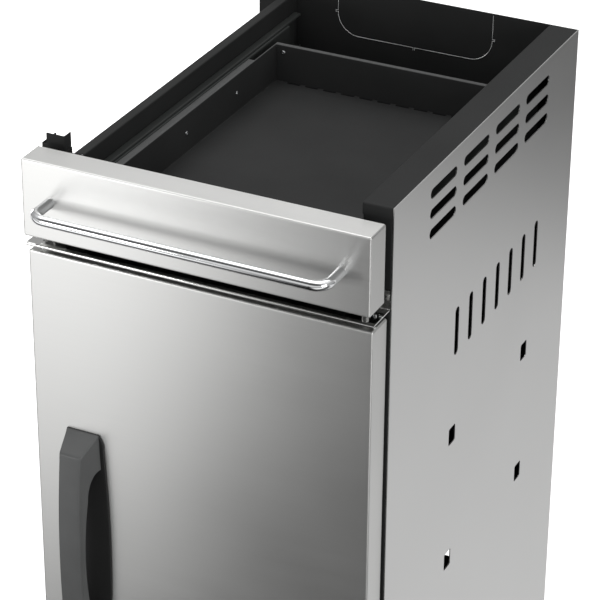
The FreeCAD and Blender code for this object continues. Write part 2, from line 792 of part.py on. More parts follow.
# Telescopic runners: three nested channels on each side
def make_runners():
    half = runner_height / 2
    gap = slide_clearance
    metal = runner_sheet
    wall = left_wall_x
    middle_half = half - metal - gap
    inner_half = middle_half - metal - gap
    lip_x = wall + runner_outer_depth
    lip_z = middle_half - metal
    middle_x = wall + metal + gap
    inner_x = middle_x + metal + bend_radius + gap
    face_x = wall + runner_thickness
    middle_end = lip_x - metal - bend_radius - gap
    z = runner_middle_z
    fixed = [(lip_x, z - lip_z), (lip_x, z - half), (wall, z - half), (wall, z + half), (lip_x, z + half),
             (lip_x, z + lip_z)]
    middle = [(middle_end, z - middle_half), (middle_x, z - middle_half), (middle_x, z + middle_half),
              (middle_end, z + middle_half)]
    moving = [(inner_x, z - inner_half), (face_x, z - inner_half), (face_x, z + inner_half),
              (inner_x, z + inner_half)]
    middle_y = runner_y + runner_front_lead
    moving_y = drawer_back_y + runner_front_lead
    shapes = {
        "slide_outer": folded(fixed, -metal, "XZ", runner_y, runner_y + runner_fixed_length),
        "slide_middle": folded(middle, -metal, "XZ", middle_y, middle_y + runner_length),
        "slide_inner": folded(moving, metal, "XZ", moving_y, moving_y + runner_length),
    }
    for name, shape in shapes.items():
        parts[name + "_left"] = shape
        parts[name + "_right"] = shape.mirror(V(drawer_x, 0, 0), V(1, 0, 0))


# Magnet catch on the face of the left post
def make_magnet():
    x0 = left_x + magnet_inset
    z0 = (door_top + door_bottom) / 2 - magnet_height / 2
    parts["door_magnet"] = rounded_block("XZ", x0, x0 + magnet_width, z0, z0 + magnet_height, front_bend,
                                         door_back_y + magnet_air_gap, carcass_y)


# Rivets through the rail's tabs and through the rear panel
def make_carcass_rivets():
    rivets = []
    back = V(0, 1, 0)
    front = V(0, -1, 0)
    tab_z = rail_top + rail_tab_height / 2
    for x0 in (left_x, rail_right - rail_tab_width):
        for x in (x0 + rail_rivet_inset, x0 + rail_tab_width - rail_rivet_inset):
            rivets.append((V(x, carcass_y - sheet, tab_z), back))
    rows = (base_top + rear_rivet_rise, (base_top + cart_height) / 2, left_wall_top - rear_rivet_drop)
    for x in ((left_x + left_wall_x) / 2, (right_post_x + skin_inner_x) / 2):
        for z in rows:
            rivets.append((V(x, back_y, z), front))
    grip = sheet * 2
    holes = [rivet_hole(seat, along, grip) for seat, along in rivets]
    for name in ("front_rail", "left_front_post", "right_front_post", "rear_panel", "left_side_wall",
                 "right_rear_post"):
        parts[name] = cut(parts[name], holes)
    parts["carcass_rivets"] = Part.makeCompound([rivet(seat, along, grip) for seat, along in rivets])


# Casters: plate with king pin, swivelling fork, wheel on its axle, and a brake pedal on the front pair
def turned(shape, x, y, heading):
    """A caster piece, made with its wheel behind the pin, turned and put in place."""
    if heading < 0:
        shape = shape.mirror(V(0, 0, 0), V(0, 1, 0))
    return shape.translated(V(x, y, 0))


def revolved(outline, x_axis_z, y):
    """A ring about the axle from an outline of radius and width."""
    corners = [V(width, y, x_axis_z + radius) for radius, width in outline]
    face = Part.Face(Part.makePolygon(corners + corners[:1]))
    return face.revolve(V(0, y, x_axis_z), V(1, 0, 0), 360)


def make_caster(name, x, y, heading, has_brake):
    plate_bottom = caster_height - caster_plate_thickness
    race_bottom = plate_bottom - race_height
    crown_top = race_bottom - slide_clearance
    crown_bottom = crown_top - fork_sheet
    wheel_z = wheel_diameter / 2
    leg_in = wheel_width / 2 + fork_wheel_gap
    leg_out = leg_in + fork_sheet
    pedal_z = crown_top - pedal_pivot_drop
    up = V(0, 0, 1)
    across = V(1, 0, 0)
    half = caster_plate_size / 2
    spacing = caster_bolt_spacing / 2
    corners = [(sx * spacing, sy * spacing) for sx in (-1, 1) for sy in (-1, 1)]

    plate = rounded_block("XY", -half, half, -half, half, caster_bolt_head, plate_bottom, caster_height)
    race = cylinder(race_radius, V(0, 0, race_bottom), up, race_height)
    head_top = crown_bottom - slide_clearance
    pin = cylinder(king_pin_radius, V(0, 0, head_top), up, race_bottom - head_top)
    head = cylinder(king_pin_head_radius, V(0, 0, head_top - king_pin_head_height), up, king_pin_head_height)
    plate = fuse([plate, race, pin, head])
    bolt_hole = caster_bolt_radius + rivet_hole_clearance
    bolt_holes = [cylinder(bolt_hole, V(a, b, plate_bottom), up, caster_plate_thickness) for a, b in corners]
    parts["caster_plate_" + name] = turned(cut(plate, bolt_holes), x, y, heading)

    holes = [cylinder(king_pin_radius + pin_running_gap, V(0, 0, crown_bottom), up, fork_sheet),
             cylinder(axle_radius + pin_running_gap, V(-leg_out, caster_trail, wheel_z), across, leg_out * 2)]
    if has_brake:
        holes.append(cylinder(pedal_pin_radius + pin_running_gap, V(-leg_out, pedal_pivot_y, pedal_z),
                              across, leg_out * 2))
        parts["brake_pedal_" + name] = turned(make_pedal(pedal_z, leg_in, leg_out), x, y, heading)
    fork = make_fork(crown_top, wheel_z, leg_out)
    parts["caster_fork_" + name] = turned(cut(fork, holes), x, y, heading)

    axle = cylinder(axle_radius, V(-leg_out, caster_trail, wheel_z), across, leg_out * 2)
    ends = [cylinder(axle_head_radius, V(leg_out, caster_trail, wheel_z), across, axle_head_height),
            cylinder(axle_head_radius, V(-leg_out, caster_trail, wheel_z), across * -1, axle_head_height)]
    parts["caster_axle_" + name] = turned(fuse([axle] + ends), x, y, heading)

    bore = axle_radius + pin_running_gap
    boss = leg_in - hub_side_gap
    rim = wheel_width / 2
    web = hub_web / 2
    hub_outline = [(bore, -boss), (hub_boss_radius, -boss), (hub_boss_radius, -web), (hub_rim_inner, -web),
                   (hub_rim_inner, -rim), (hub_rim_outer, -rim), (hub_rim_outer, rim), (hub_rim_inner, rim),
                   (hub_rim_inner, web), (hub_boss_radius, web), (hub_boss_radius, boss), (bore, boss)]
    parts["caster_hub_" + name] = turned(revolved(hub_outline, wheel_z, caster_trail), x, y, heading)
    tread = wheel_diameter / 2
    tyre_outline = [(hub_rim_outer, -rim), (tread, -rim), (tread, rim), (hub_rim_outer, rim)]
    tyre = revolved(tyre_outline, wheel_z, caster_trail)
    tyre = tyre.makeFillet(tyre_edge, [e for e in tyre.Edges if e.BoundBox.ZMin < touch and e.isClosed()])
    parts["caster_tyre_" + name] = turned(tyre, x, y, heading)
    return [V(x + a, y + b, 0) for a, b in corners]


def make_fork(crown_top, wheel_z, leg_out):
    """A sheet bent over the wheel, with its legs narrowed to round feet at the axle."""
    foot_z = wheel_z - fork_foot_radius
    foot_back = caster_trail + fork_foot_radius
    foot_front = caster_trail - fork_foot_radius
    arch = [(-leg_out, foot_z), (-leg_out, crown_top), (leg_out, crown_top), (leg_out, foot_z)]
    bent = folded(arch, -fork_sheet, "XZ", -crown_front, max(crown_back, foot_back))

    def at(y, z):
        return V(-leg_out, y, z)

    side = [Part.LineSegment(at(-crown_front, crown_top), at(crown_back, crown_top)).toShape(),
            Part.LineSegment(at(crown_back, crown_top), at(foot_back, wheel_z)).toShape(),
            Part.Arc(at(foot_back, wheel_z), at(caster_trail, foot_z), at(foot_front, wheel_z)).toShape(),
            Part.LineSegment(at(foot_front, wheel_z), at(-crown_front, crown_top)).toShape()]
    return bent.common(extrude(side, "YZ", -leg_out, leg_out))


def make_pedal(pivot_z, leg_in, leg_out):
    """A foot lever on its own cross pin, above the wheel."""
    pin = cylinder(pedal_pin_radius, V(-leg_out, pedal_pivot_y, pivot_z), V(1, 0, 0), leg_out * 2)
    inside = leg_in - slide_clearance
    hub = cylinder(pedal_hub_radius, V(-inside, pedal_pivot_y, pivot_z), V(1, 0, 0), inside * 2)
    top = pivot_z + pedal_hub_radius
    end_y = pedal_pivot_y + pedal_reach
    end_top = top - pedal_arm_fall
    arm = prism([(pedal_pivot_y, top), (end_y, end_top), (end_y, end_top - pedal_arm_thickness),
                 (pedal_pivot_y, top - pedal_arm_thickness)], "YZ", -pedal_arm_width / 2, pedal_arm_width / 2)
    pad = rounded_block("XY", -pedal_pad_width / 2, pedal_pad_width / 2, end_y - pedal_arm_thickness,
                        end_y + pedal_pad_length, pedal_arm_thickness, end_top - pedal_pad_thickness, end_top)
    return fuse([pin, hub, arm, pad])


def hexagon_bolt(middle):
    """A bolt up through the caster plate and the floor, with its nut on top."""
    plate_bottom = caster_height - caster_plate_thickness
    corners = []
    for i in range(6):
        angle = math.radians(60 * i)
        corners.append((middle.x + caster_bolt_head * math.cos(angle),
                        middle.y + caster_bolt_head * math.sin(angle)))
    head = prism(corners, "XY", plate_bottom - caster_bolt_head_height, plate_bottom)
    nut = prism(corners, "XY", base_top, base_top + caster_bolt_head_height)
    shank = cylinder(caster_bolt_radius, V(middle.x, middle.y, plate_bottom), V(0, 0, 1),
                     base_top - plate_bottom)
    return fuse([head, shank, nut])


def make_casters():
    places = {
        "front_left": (left_x + caster_inset_x, carcass_y + caster_inset_y, -1, True),
        "front_right": (right_x - caster_inset_x, carcass_y + caster_inset_y, -1, True),
        "rear_left": (left_x + caster_inset_x, back_y - caster_inset_y, 1, False),
        "rear_right": (right_x - caster_inset_x, back_y - caster_inset_y, 1, False),
    }
    bolts = []
    for name, (x, y, heading, has_brake) in places.items():
        bolts += make_caster(name, x, y, heading, has_brake)
    hole = caster_bolt_radius + rivet_hole_clearance
    holes = [cylinder(hole, V(b.x, b.y, caster_height), V(0, 0, 1), sheet) for b in bolts]
    parts["base_pan"] = cut(parts["base_pan"], holes)
    parts["caster_bolts"] = Part.makeCompound([hexagon_bolt(b) for b in bolts])


make_right_skin()
make_right_frame()
make_left_side()
make_base()
make_rear_panel()
make_rails()
make_hinge()
make_door()
make_drawer_front()
make_tray()
make_runners()
make_magnet()
make_carcass_rivets()
make_casters()

for node, shape in parts.items():
    shape.exportStep("parts/" + node + ".step")
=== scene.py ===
import math

import bmesh
import bpy
from bpy.props import FloatProperty, FloatVectorProperty, IntProperty, PointerProperty
from mathutils import Matrix, Vector


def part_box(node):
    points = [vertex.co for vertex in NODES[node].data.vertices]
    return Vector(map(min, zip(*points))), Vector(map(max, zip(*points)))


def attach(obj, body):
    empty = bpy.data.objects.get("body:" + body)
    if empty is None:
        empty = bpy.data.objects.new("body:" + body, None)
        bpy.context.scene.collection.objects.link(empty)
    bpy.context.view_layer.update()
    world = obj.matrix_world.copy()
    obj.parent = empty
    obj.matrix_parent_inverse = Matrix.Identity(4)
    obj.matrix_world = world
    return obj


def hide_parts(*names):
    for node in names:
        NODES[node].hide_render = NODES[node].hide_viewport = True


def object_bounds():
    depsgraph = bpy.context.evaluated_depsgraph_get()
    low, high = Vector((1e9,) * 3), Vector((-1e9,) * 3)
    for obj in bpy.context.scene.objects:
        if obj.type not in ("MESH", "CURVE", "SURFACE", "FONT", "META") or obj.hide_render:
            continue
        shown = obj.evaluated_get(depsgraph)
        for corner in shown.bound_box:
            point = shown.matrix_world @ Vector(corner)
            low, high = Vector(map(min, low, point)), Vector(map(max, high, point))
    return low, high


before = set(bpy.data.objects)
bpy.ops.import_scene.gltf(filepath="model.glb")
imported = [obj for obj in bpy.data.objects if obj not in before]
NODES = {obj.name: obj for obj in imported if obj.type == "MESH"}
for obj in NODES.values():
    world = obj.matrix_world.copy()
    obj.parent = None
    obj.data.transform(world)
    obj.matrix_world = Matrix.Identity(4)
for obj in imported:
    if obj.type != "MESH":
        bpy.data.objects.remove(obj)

bl_info = {
    "name": "Storage cart finishes",
    "version": (1, 0, 0),
    "blender": (4, 5, 0),
    "location": "View3D > Sidebar > Cart",
    "description": "Finishes, fasteners, light and camera for the under-grill storage cart",
    "category": "Object",
}

CAD_BOX = [list(corner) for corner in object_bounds()]
CASTERS = ("front_left", "front_right", "rear_left", "rear_right")

# Points nearer than this are one
WELD = 1e-6

# A bend sharper than this shows as an edge, on fasteners and on other pieces
FASTENER_EDGE = math.radians(35.0)
PIECE_EDGE = math.radians(40.0)


# Sizes and colours that the user can change
def colour_property(name, description, shade):
    """A colour that the user can change."""
    return FloatVectorProperty(name=name, description=description, subtype="COLOR", size=3, min=0.0,
                               max=1.0, default=shade)


def share_property(name, description, value):
    """A share between nought and one that the user can change."""
    return FloatProperty(name=name, description=description, subtype="FACTOR", min=0.0, max=1.0,
                         default=value)


def length_property(name, description, value):
    """A length in metres that the user can change."""
    return FloatProperty(name=name, description=description, subtype="DISTANCE", unit="LENGTH",
                         default=value, precision=4)


def power_property(name, description, value):
    """A lamp's power in watts that the user can change."""
    return FloatProperty(name=name, description=description, unit="POWER", default=value)


def angle_property(name, description, degrees):
    """An angle that the user can change."""
    return FloatProperty(name=name, description=description, subtype="ANGLE",
                         default=math.radians(degrees))


class CartFinishes(bpy.types.PropertyGroup):
    """Colours and gloss of the cart's finishes"""
    front_steel: colour_property("Front steel", "Brushed stainless of the door and drawer front",
                                 (0.63, 0.63, 0.62))
    front_roughness: share_property("Front roughness", "Dullness of the brushed fronts", 0.37)
    side_steel: colour_property("Side steel", "Satin stainless of the right side", (0.6, 0.6, 0.595))
    side_roughness: share_property("Side roughness", "Dullness of the side", 0.34)
    rail_steel: colour_property("Rail steel", "Polished stainless of the rails", (0.66, 0.66, 0.65))
    rail_roughness: share_property("Rail roughness", "Dullness of the rails", 0.1)
    bar_chrome: colour_property("Bar chrome", "Chrome plate of the bar handle", (0.78, 0.79, 0.8))
    paint: colour_property("Carcass paint", "Dark powder coat of the carcass", (0.0215, 0.022, 0.022))
    tray_paint: colour_property("Tray paint", "Dark powder coat of the drawer tray",
                                (0.03, 0.0305, 0.0305))
    runner_coat: colour_property("Runner coat", "Dark coat of the telescopic runners",
                                 (0.03, 0.032, 0.031))
    grip_plastic: colour_property("Grip plastic", "Moulded plastic of the door handle",
                                  (0.085, 0.087, 0.087))
    plate_plastic: colour_property("Plate plastic", "Black plate behind the door handle",
                                   (0.012, 0.012, 0.012))
    zinc: colour_property("Zinc plate", "Zinc plate of screws, bolts and casters", (0.55, 0.56, 0.57))
    bare_steel: colour_property("Bare steel", "Cut edges without paint", (0.88, 0.89, 0.89))
    nylon: colour_property("Nylon", "Hinge bushes", (0.55, 0.54, 0.5))
    tyre_rubber: colour_property("Tyre rubber", "Dark rubber of the caster tyres", (0.02, 0.02, 0.021))
    hub_plastic: colour_property("Hub plastic", "Plastic of the caster hubs", (0.05, 0.05, 0.052))


class CartFasteners(bpy.types.PropertyGroup):
    """Sizes of the rivets and bolts"""
    rivet_head_radius: length_property("Rivet head radius", "Radius of a rivet's head", 0.0025)
    rivet_head_height: length_property("Rivet head height", "Height of a rivet's head", 0.001)
    rivet_shank_radius: length_property("Rivet shank radius", "Radius of a rivet's shank", 0.0012)
    rivet_tail_radius: length_property("Rivet tail radius", "Radius of the set end of a rivet", 0.0019)
    rivet_tail_height: length_property("Rivet tail height", "Height of the set end of a rivet", 0.0015)
    bolt_radius: length_property("Bolt radius", "Radius of a caster bolt", 0.003)
    bolt_head_radius: length_property("Bolt head radius", "Radius of a bolt head over its corners", 0.0055)
    bolt_head_height: length_property("Bolt head height", "Height of a bolt head and of its nut", 0.004)
    round_sides: IntProperty(name="Round sides", description="Sides of a round fastener", default=24,
                             min=8, max=64)


class CartGrip(bpy.types.PropertyGroup):
    """Sizes of the moulded door grip"""
    foot_left: length_property("Foot left", "Half width of a foot on the left", 0.02)
    foot_right: length_property("Foot right", "Half width of a foot on the right, at the grip's end",
                                0.0215)
    foot_spread: length_property("Foot spread", "How far a foot's right side widens to the middle", 0.0017)
    hand_half: length_property("Hand half width", "Half width of the front", 0.014)
    foot_length: length_property("Foot length", "Length of a foot on the door", 0.045)
    web_length: length_property("Web length", "Length of the curve from a foot to the hand", 0.034)
    reach: length_property("Reach", "How far the middle of the front stands out", 0.039)
    hand_depth: length_property("Hand depth", "Depth of the grip at its middle", 0.013)
    hand_bow: length_property("Hand bow", "How far the back of the hand is bowed", 0.0065)
    end_reach: length_property("End reach", "How far the front stands out at a sloped end", 0.0295)
    end_drop: length_property("End drop", "Length of a sloped end", 0.017)
    front_edge: length_property("Front edge", "Radius of the front's edges", 0.0025)
    back_edge: length_property("Back edge", "Radius of the hand's back edges", 0.0014)


class CartRear(bpy.types.PropertyGroup):
    """Sizes of the break-out in the rear panel and of the left wall's corner"""
    breakout_width: length_property("Break-out width", "Width of the break-out", 0.208)
    breakout_radius: length_property("Break-out radius", "Radius of its lower corners", 0.029)
    breakout_drop: length_property("Break-out drop", "Its lower edge below the panel's top", 0.0647)
    breakout_tab: length_property("Break-out tab", "Width of the tabs that hold it", 0.002)
    breakout_relief: length_property("Break-out relief", "Length of the cuts beside a tab", 0.0034)
    edge_radius: length_property("Bare edge", "Radius of the bare edge along the cut", 0.0003)
    sheet: length_property("Sheet", "Thickness of the wall's sheet", 0.0012)
    wall_set_in: length_property("Wall set in", "The left wall's distance from the left side", 0.0525)
    wall_flange: length_property("Wall flange", "Width of the wall's top flange", 0.0115)
    corner_relief: length_property("Corner relief", "Length of the relief at the flange's front end", 0.004)
    corner_slit: length_property("Corner slit", "Gap that is left there", 0.0008)


class CartSide(bpy.types.PropertyGroup):
    """Sizes of the hook slots in the right side"""
    slot_width: length_property("Slot width", "Width of a hook slot", 0.0185)
    slot_length: length_property("Slot length", "Length of a hook slot", 0.0225)
    slot_corner: length_property("Slot corner", "Radius of a hook slot's corners", 0.0025)
    slot_front: length_property("Slot front", "Middle of the front slots behind the front edge", 0.182)
    slot_drop: length_property("Slot drop", "Middle of the upper slots below the top edge", 0.3755)
    slot_pitch_back: length_property("Slot pitch back", "From the front slots to the rear ones", 0.221)
    slot_pitch_down: length_property("Slot pitch down", "From the upper slots to the lower ones", 0.1745)


class CartStage(bpy.types.PropertyGroup):
    """Floor, light and camera"""
    floor_side: length_property("Floor side", "Length of the floor's sides", 30.0)
    ambient: share_property("Ambient", "Strength of the white surroundings on dull surfaces", 0.58)
    top_power: power_property("Top lamp", "Power of the lamp overhead", 18.0)
    front_power: power_property("Front lamp", "Power of the lamp at the front left", 6.8)
    right_power: power_property("Right lamp", "Power of the lamp at the right", 24.0)
    rear_power: power_property("Rear lamp", "Power of the low lamp at the rear left", 30.0)
    camera_azimuth: angle_property("Camera azimuth", "Turn of the camera round the cart", 25.98)
    camera_elevation: angle_property("Camera elevation", "Camera's angle above the floor", 28.70)
    camera_roll: angle_property("Camera roll", "Turn of the camera about its own line", 0.41)
    camera_lens: FloatProperty(name="Camera lens", description="Focal length in millimetres", unit="CAMERA",
                               default=161.1, min=1.0)
    camera_distance: length_property("Camera distance", "Depth of the drawer front's lower left corner",
                                     2.9704)
    corner_right: length_property("Corner to the right", "Place of that corner across the picture",
                                  -0.3057)
    corner_up: length_property("Corner up", "Place of that corner up the picture", 0.0718)


# Finishes

# Noise values gather round the middle, so a finish spreads this part of them
NOISE_LOW = 0.3
NOISE_HIGH = 0.7

# Layers of detail in fine and in soft noise
FINE_DETAIL = 3.0
SOFT_DETAIL = 2.0

# Level brushing draws the gloss upright on a front and from front to back on a top
GLOSS_DIRECTION = (0.0, 0.3, 1.0)

# Brushed sheet: clouds per metre, how far lines and clouds change its dullness, and the lines' relief
SHEET_CLOUDS = 5.0
LINE_DULLNESS = 0.02
CLOUD_DULLNESS = 0.015
LINE_DEPTH = 0.00001
LINE_RELIEF = 0.12

# Plated metal: clouds and scratches per metre, the clouds' share of its dullness, and the scratches' depth
PLATE_CLOUDS = 60.0
PLATE_SCRATCHES = (900.0, 120.0, 900.0)
PLATE_DULLNESS = 0.3
SCRATCH_DEPTH = 0.00001

# Powder coat: clouds per metre and their tone, how far the skin changes its dullness, its relief and gloss
COAT_CLOUDS = 9.0
COAT_TONE = 0.12
COAT_DULLNESS = 0.06
COAT_DEPTH = 0.00006
COAT_RELIEF = 0.5
COAT_GLOSS = 0.12

# Painted highlight on a rim's top, where light catches its bend: height over which it turns pale, streaks
# per metre, how much paler it is, and its tone
PAINTED_HIGHLIGHT_EDGE = 0.0005
PAINTED_HIGHLIGHT_STREAKS = (400.0, 40.0, 400.0)
PAINTED_HIGHLIGHT_PALER = 3.0
PAINTED_HIGHLIGHT_TONE = 0.1

# Moulded plastic: clouds per metre and their tone, how far the skin changes its dullness, and its relief
PLASTIC_CLOUDS = 30.0
PLASTIC_TONE = 0.06
PLASTIC_DULLNESS = 0.05
PLASTIC_RELIEF = 0.5


def blank_material(name):
    """A material with a principled shader only."""
    material = bpy.data.materials.new(name)
    material.use_nodes = True
    tree = material.node_tree
    tree.nodes.clear()
    shader = tree.nodes.new("ShaderNodeBsdfPrincipled")
    output = tree.nodes.new("ShaderNodeOutputMaterial")
    tree.links.new(shader.outputs["BSDF"], output.inputs["Surface"])
    return material, tree, shader


def split_place(tree, kind):
    """The X, Y and Z outputs of a kind of coordinates."""
    place = tree.nodes.new("ShaderNodeTexCoord")
    split = tree.nodes.new("ShaderNodeSeparateXYZ")
    tree.links.new(place.outputs[kind], split.inputs["Vector"])
    return split.outputs


def grain(tree, stretch, detail):
    """Noise on the piece's own coordinates; stretch is how fast it changes per metre along X, Y, Z."""
    place = tree.nodes.new("ShaderNodeTexCoord")
    mapping = tree.nodes.new("ShaderNodeMapping")
    mapping.inputs["Scale"].default_value = stretch
    texture = tree.nodes.new("ShaderNodeTexNoise")
    texture.inputs["Scale"].default_value = 1.0
    texture.inputs["Detail"].default_value = detail
    tree.links.new(place.outputs["Object"], mapping.inputs["Vector"])
    tree.links.new(mapping.outputs["Vector"], texture.inputs["Vector"])
    return texture.outputs["Fac"]


def even_grain(tree, scale, detail):
    """Noise that changes as fast along X, Y and Z."""
    return grain(tree, (scale, scale, scale), detail)


def ranged(tree, value, low, high):
    """The noise value spread between two numbers."""
    node = tree.nodes.new("ShaderNodeMapRange")
    node.inputs["From Min"].default_value = NOISE_LOW
    node.inputs["From Max"].default_value = NOISE_HIGH
    node.inputs["To Min"].default_value = low
    node.inputs["To Max"].default_value = high
    tree.links.new(value, node.inputs["Value"])
    return node.outputs["Result"]


def shaded(tree, value, colour, tone):
    """The colour made darker and lighter by the tone, as the noise value says."""
    ramp = tree.nodes.new("ShaderNodeValToRGB")
    dark, light = ramp.color_ramp.elements
    dark.position = NOISE_LOW
    light.position = NOISE_HIGH
    dark.color = [shade * (1 - tone) for shade in colour] + [1.0]
    light.color = [min(1.0, shade * (1 + tone)) for shade in colour] + [1.0]
    tree.links.new(value, ramp.inputs["Fac"])
    return ramp.outputs["Color"]


def grey(level):
    """An opaque grey."""
    return (level, level, level, 1.0)


def profile(tree, value, stops):
    """A grey level that runs through stops of (place, level)."""
    first = stops[0][0]
    last = stops[-1][0]
    spread = tree.nodes.new("ShaderNodeMapRange")
    spread.inputs["From Min"].default_value = first
    spread.inputs["From Max"].default_value = last
    tree.links.new(value, spread.inputs["Value"])
    ramp = tree.nodes.new("ShaderNodeValToRGB")
    marks = ramp.color_ramp.elements
    for place, level in stops[1:-1]:
        marks.new((place - first) / (last - first))
    for mark, (place, level) in zip(marks, stops):
        mark.color = grey(level)
    tree.links.new(spread.outputs["Result"], ramp.inputs["Fac"])
    return ramp.outputs["Color"]


def mixed(tree, blend, share, first, second):
    """Two colours blended, by a share where one is given."""
    node = tree.nodes.new("ShaderNodeMix")
    node.data_type = "RGBA"
    node.blend_type = blend
    node.inputs["Factor"].default_value = 1.0
    if share is not None:
        tree.links.new(share, node.inputs["Factor"])
    tree.links.new(first, node.inputs["A"])
    tree.links.new(second, node.inputs["B"])
    return node.outputs["Result"]


def bumped(tree, shader, value, depth, strength):
    """Small hills on the surface from the noise value."""
    bump = tree.nodes.new("ShaderNodeBump")
    bump.inputs["Distance"].default_value = depth
    bump.inputs["Strength"].default_value = strength
    tree.links.new(value, bump.inputs["Height"])
    tree.links.new(bump.outputs["Normal"], shader.inputs["Normal"])


def brushed_steel(name, colour, roughness, across, along, tone, brushing):
    """Stainless sheet with level brushing: lines long along X and Y, short along Z, gloss drawn upright."""
    material, tree, shader = blank_material(name)
    lines = grain(tree, (along, along, across), FINE_DETAIL)
    clouds = even_grain(tree, SHEET_CLOUDS, SOFT_DETAIL)
    tree.links.new(shaded(tree, lines, colour, tone), shader.inputs["Base Color"])
    dullness = tree.nodes.new("ShaderNodeMath")
    dullness.operation = "ADD"
    line_dullness = ranged(tree, lines, roughness - LINE_DULLNESS, roughness + LINE_DULLNESS)
    tree.links.new(line_dullness, dullness.inputs[0])
    tree.links.new(ranged(tree, clouds, -CLOUD_DULLNESS, CLOUD_DULLNESS), dullness.inputs[1])
    tree.links.new(dullness.outputs["Value"], shader.inputs["Roughness"])
    bumped(tree, shader, lines, LINE_DEPTH, LINE_RELIEF)
    shader.inputs["Metallic"].default_value = 1.0
    shader.inputs["Anisotropic"].default_value = brushing
    direction = tree.nodes.new("ShaderNodeCombineXYZ")
    for axis, share in zip("XYZ", GLOSS_DIRECTION):
        direction.inputs[axis].default_value = share
    tree.links.new(direction.outputs["Vector"], shader.inputs["Tangent"])
    return material


def plated_steel(name, colour, roughness, tone, scratching):
    """Bright metal with faint clouds and fine scratches."""
    material, tree, shader = blank_material(name)
    clouds = even_grain(tree, PLATE_CLOUDS, FINE_DETAIL)
    scratches = grain(tree, PLATE_SCRATCHES, FINE_DETAIL)
    tree.links.new(shaded(tree, clouds, colour, tone), shader.inputs["Base Color"])
    dullness = ranged(tree, clouds, roughness * (1 - PLATE_DULLNESS), roughness * (1 + PLATE_DULLNESS))
    tree.links.new(dullness, shader.inputs["Roughness"])
    bumped(tree, shader, scratches, SCRATCH_DEPTH, scratching)
    shader.inputs["Metallic"].default_value = 1.0
    return material


def powder_coat(name, colour, roughness, peel, painted_highlight_height=None):
    """Dark powder coat with a fine orange-peel skin and uneven tone, with a painted highlight that turns it
    pale from a height upwards.
    """
    material, tree, shader = blank_material(name)
    skin = even_grain(tree, peel, SOFT_DETAIL)
    clouds = even_grain(tree, COAT_CLOUDS, FINE_DETAIL)
    tone = shaded(tree, clouds, colour, COAT_TONE)
    # The pale band above the height is a painted highlight, where light catches the rim's bend
    if painted_highlight_height is not None:
        height = split_place(tree, "Object")["Z"]
        painted_highlight_share = profile(tree, height, ((painted_highlight_height, 0.0), (painted_highlight_height + PAINTED_HIGHLIGHT_EDGE, 1.0)))
        scratches = grain(tree, PAINTED_HIGHLIGHT_STREAKS, FINE_DETAIL)
        pale = shaded(tree, scratches, [PAINTED_HIGHLIGHT_PALER * shade for shade in colour], PAINTED_HIGHLIGHT_TONE)
        tone = mixed(tree, "MIX", painted_highlight_share, tone, pale)
    tree.links.new(tone, shader.inputs["Base Color"])
    dullness = ranged(tree, skin, roughness - COAT_DULLNESS, roughness + COAT_DULLNESS)
    tree.links.new(dullness, shader.inputs["Roughness"])
    bumped(tree, shader, skin, COAT_DEPTH, COAT_RELIEF)
    shader.inputs["Specular IOR Level"].default_value = COAT_GLOSS
    return material


def moulded_plastic(name, colour, roughness, texture, depth):
    """Moulded plastic with a spark-eroded surface."""
    material, tree, shader = blank_material(name)
    skin = even_grain(tree, texture, FINE_DETAIL)
    clouds = even_grain(tree, PLASTIC_CLOUDS, SOFT_DETAIL)
    tree.links.new(shaded(tree, clouds, colour, PLASTIC_TONE), shader.inputs["Base Color"])
    dullness = ranged(tree, skin, roughness - PLASTIC_DULLNESS, roughness + PLASTIC_DULLNESS)
    tree.links.new(dullness, shader.inputs["Roughness"])
    bumped(tree, shader, skin, depth, PLASTIC_RELIEF)
    return material


def dress(material, *names):
    """Gives CAD nodes a finish."""
    for name in names:
        NODES[name].material_slots[0].material = material


def per_caster(*stems):
    """The node names of a caster piece on all four casters."""
    return [stem + "_" + place for stem in stems for place in CASTERS]


# New pieces
def add_object(name, data):
    """A new object in the scene."""
    item = bpy.data.objects.new(name, data)
    bpy.context.scene.collection.objects.link(item)
    return item


def smooth_piece(name, mesh, edge_angle):
    """A piece that is shaded smooth up to its edges."""
    mesh.shade_smooth()
    mesh.set_sharp_from_angle(angle=edge_angle)
    return add_object(name, mesh)


def shape_piece(name, shape, material):
    """A piece from a closed shape, with its faces turned outwards."""
    if any(not edge.is_manifold for edge in shape.edges):
        raise RuntimeError(name + " isn't closed")
    bmesh.ops.recalc_face_normals(shape, faces=shape.faces)
    mesh = bpy.data.meshes.new(name)
    shape.to_mesh(mesh)
    shape.free()
    mesh.materials.append(material)
    return smooth_piece(name, mesh, PIECE_EDGE)


def plain_shape(points, faces):
    """A shape from points and faces alone."""
    shape = bmesh.new()
    corners = [shape.verts.new(point) for point in points]
    for face in faces:
        shape.faces.new([corners[i] for i in face])
    return shape


def evaluated_mesh(holder):
    """The mesh that an object's modifiers or curves make."""
    graph = bpy.context.evaluated_depsgraph_get()
    return bpy.data.meshes.new_from_object(holder.evaluated_get(graph), preserve_all_data_layers=True,
                                           depsgraph=graph)


# Fasteners

# Points of a rivet that are farther out than this share of its radius are on the head's rim
RIM_SHARE = 0.97

# Sides of a hexagon head and nut, and the share of their corners' radius that the flats reach
HEXAGON = 6
FLAT_SHARE = math.cos(math.radians(30.0))

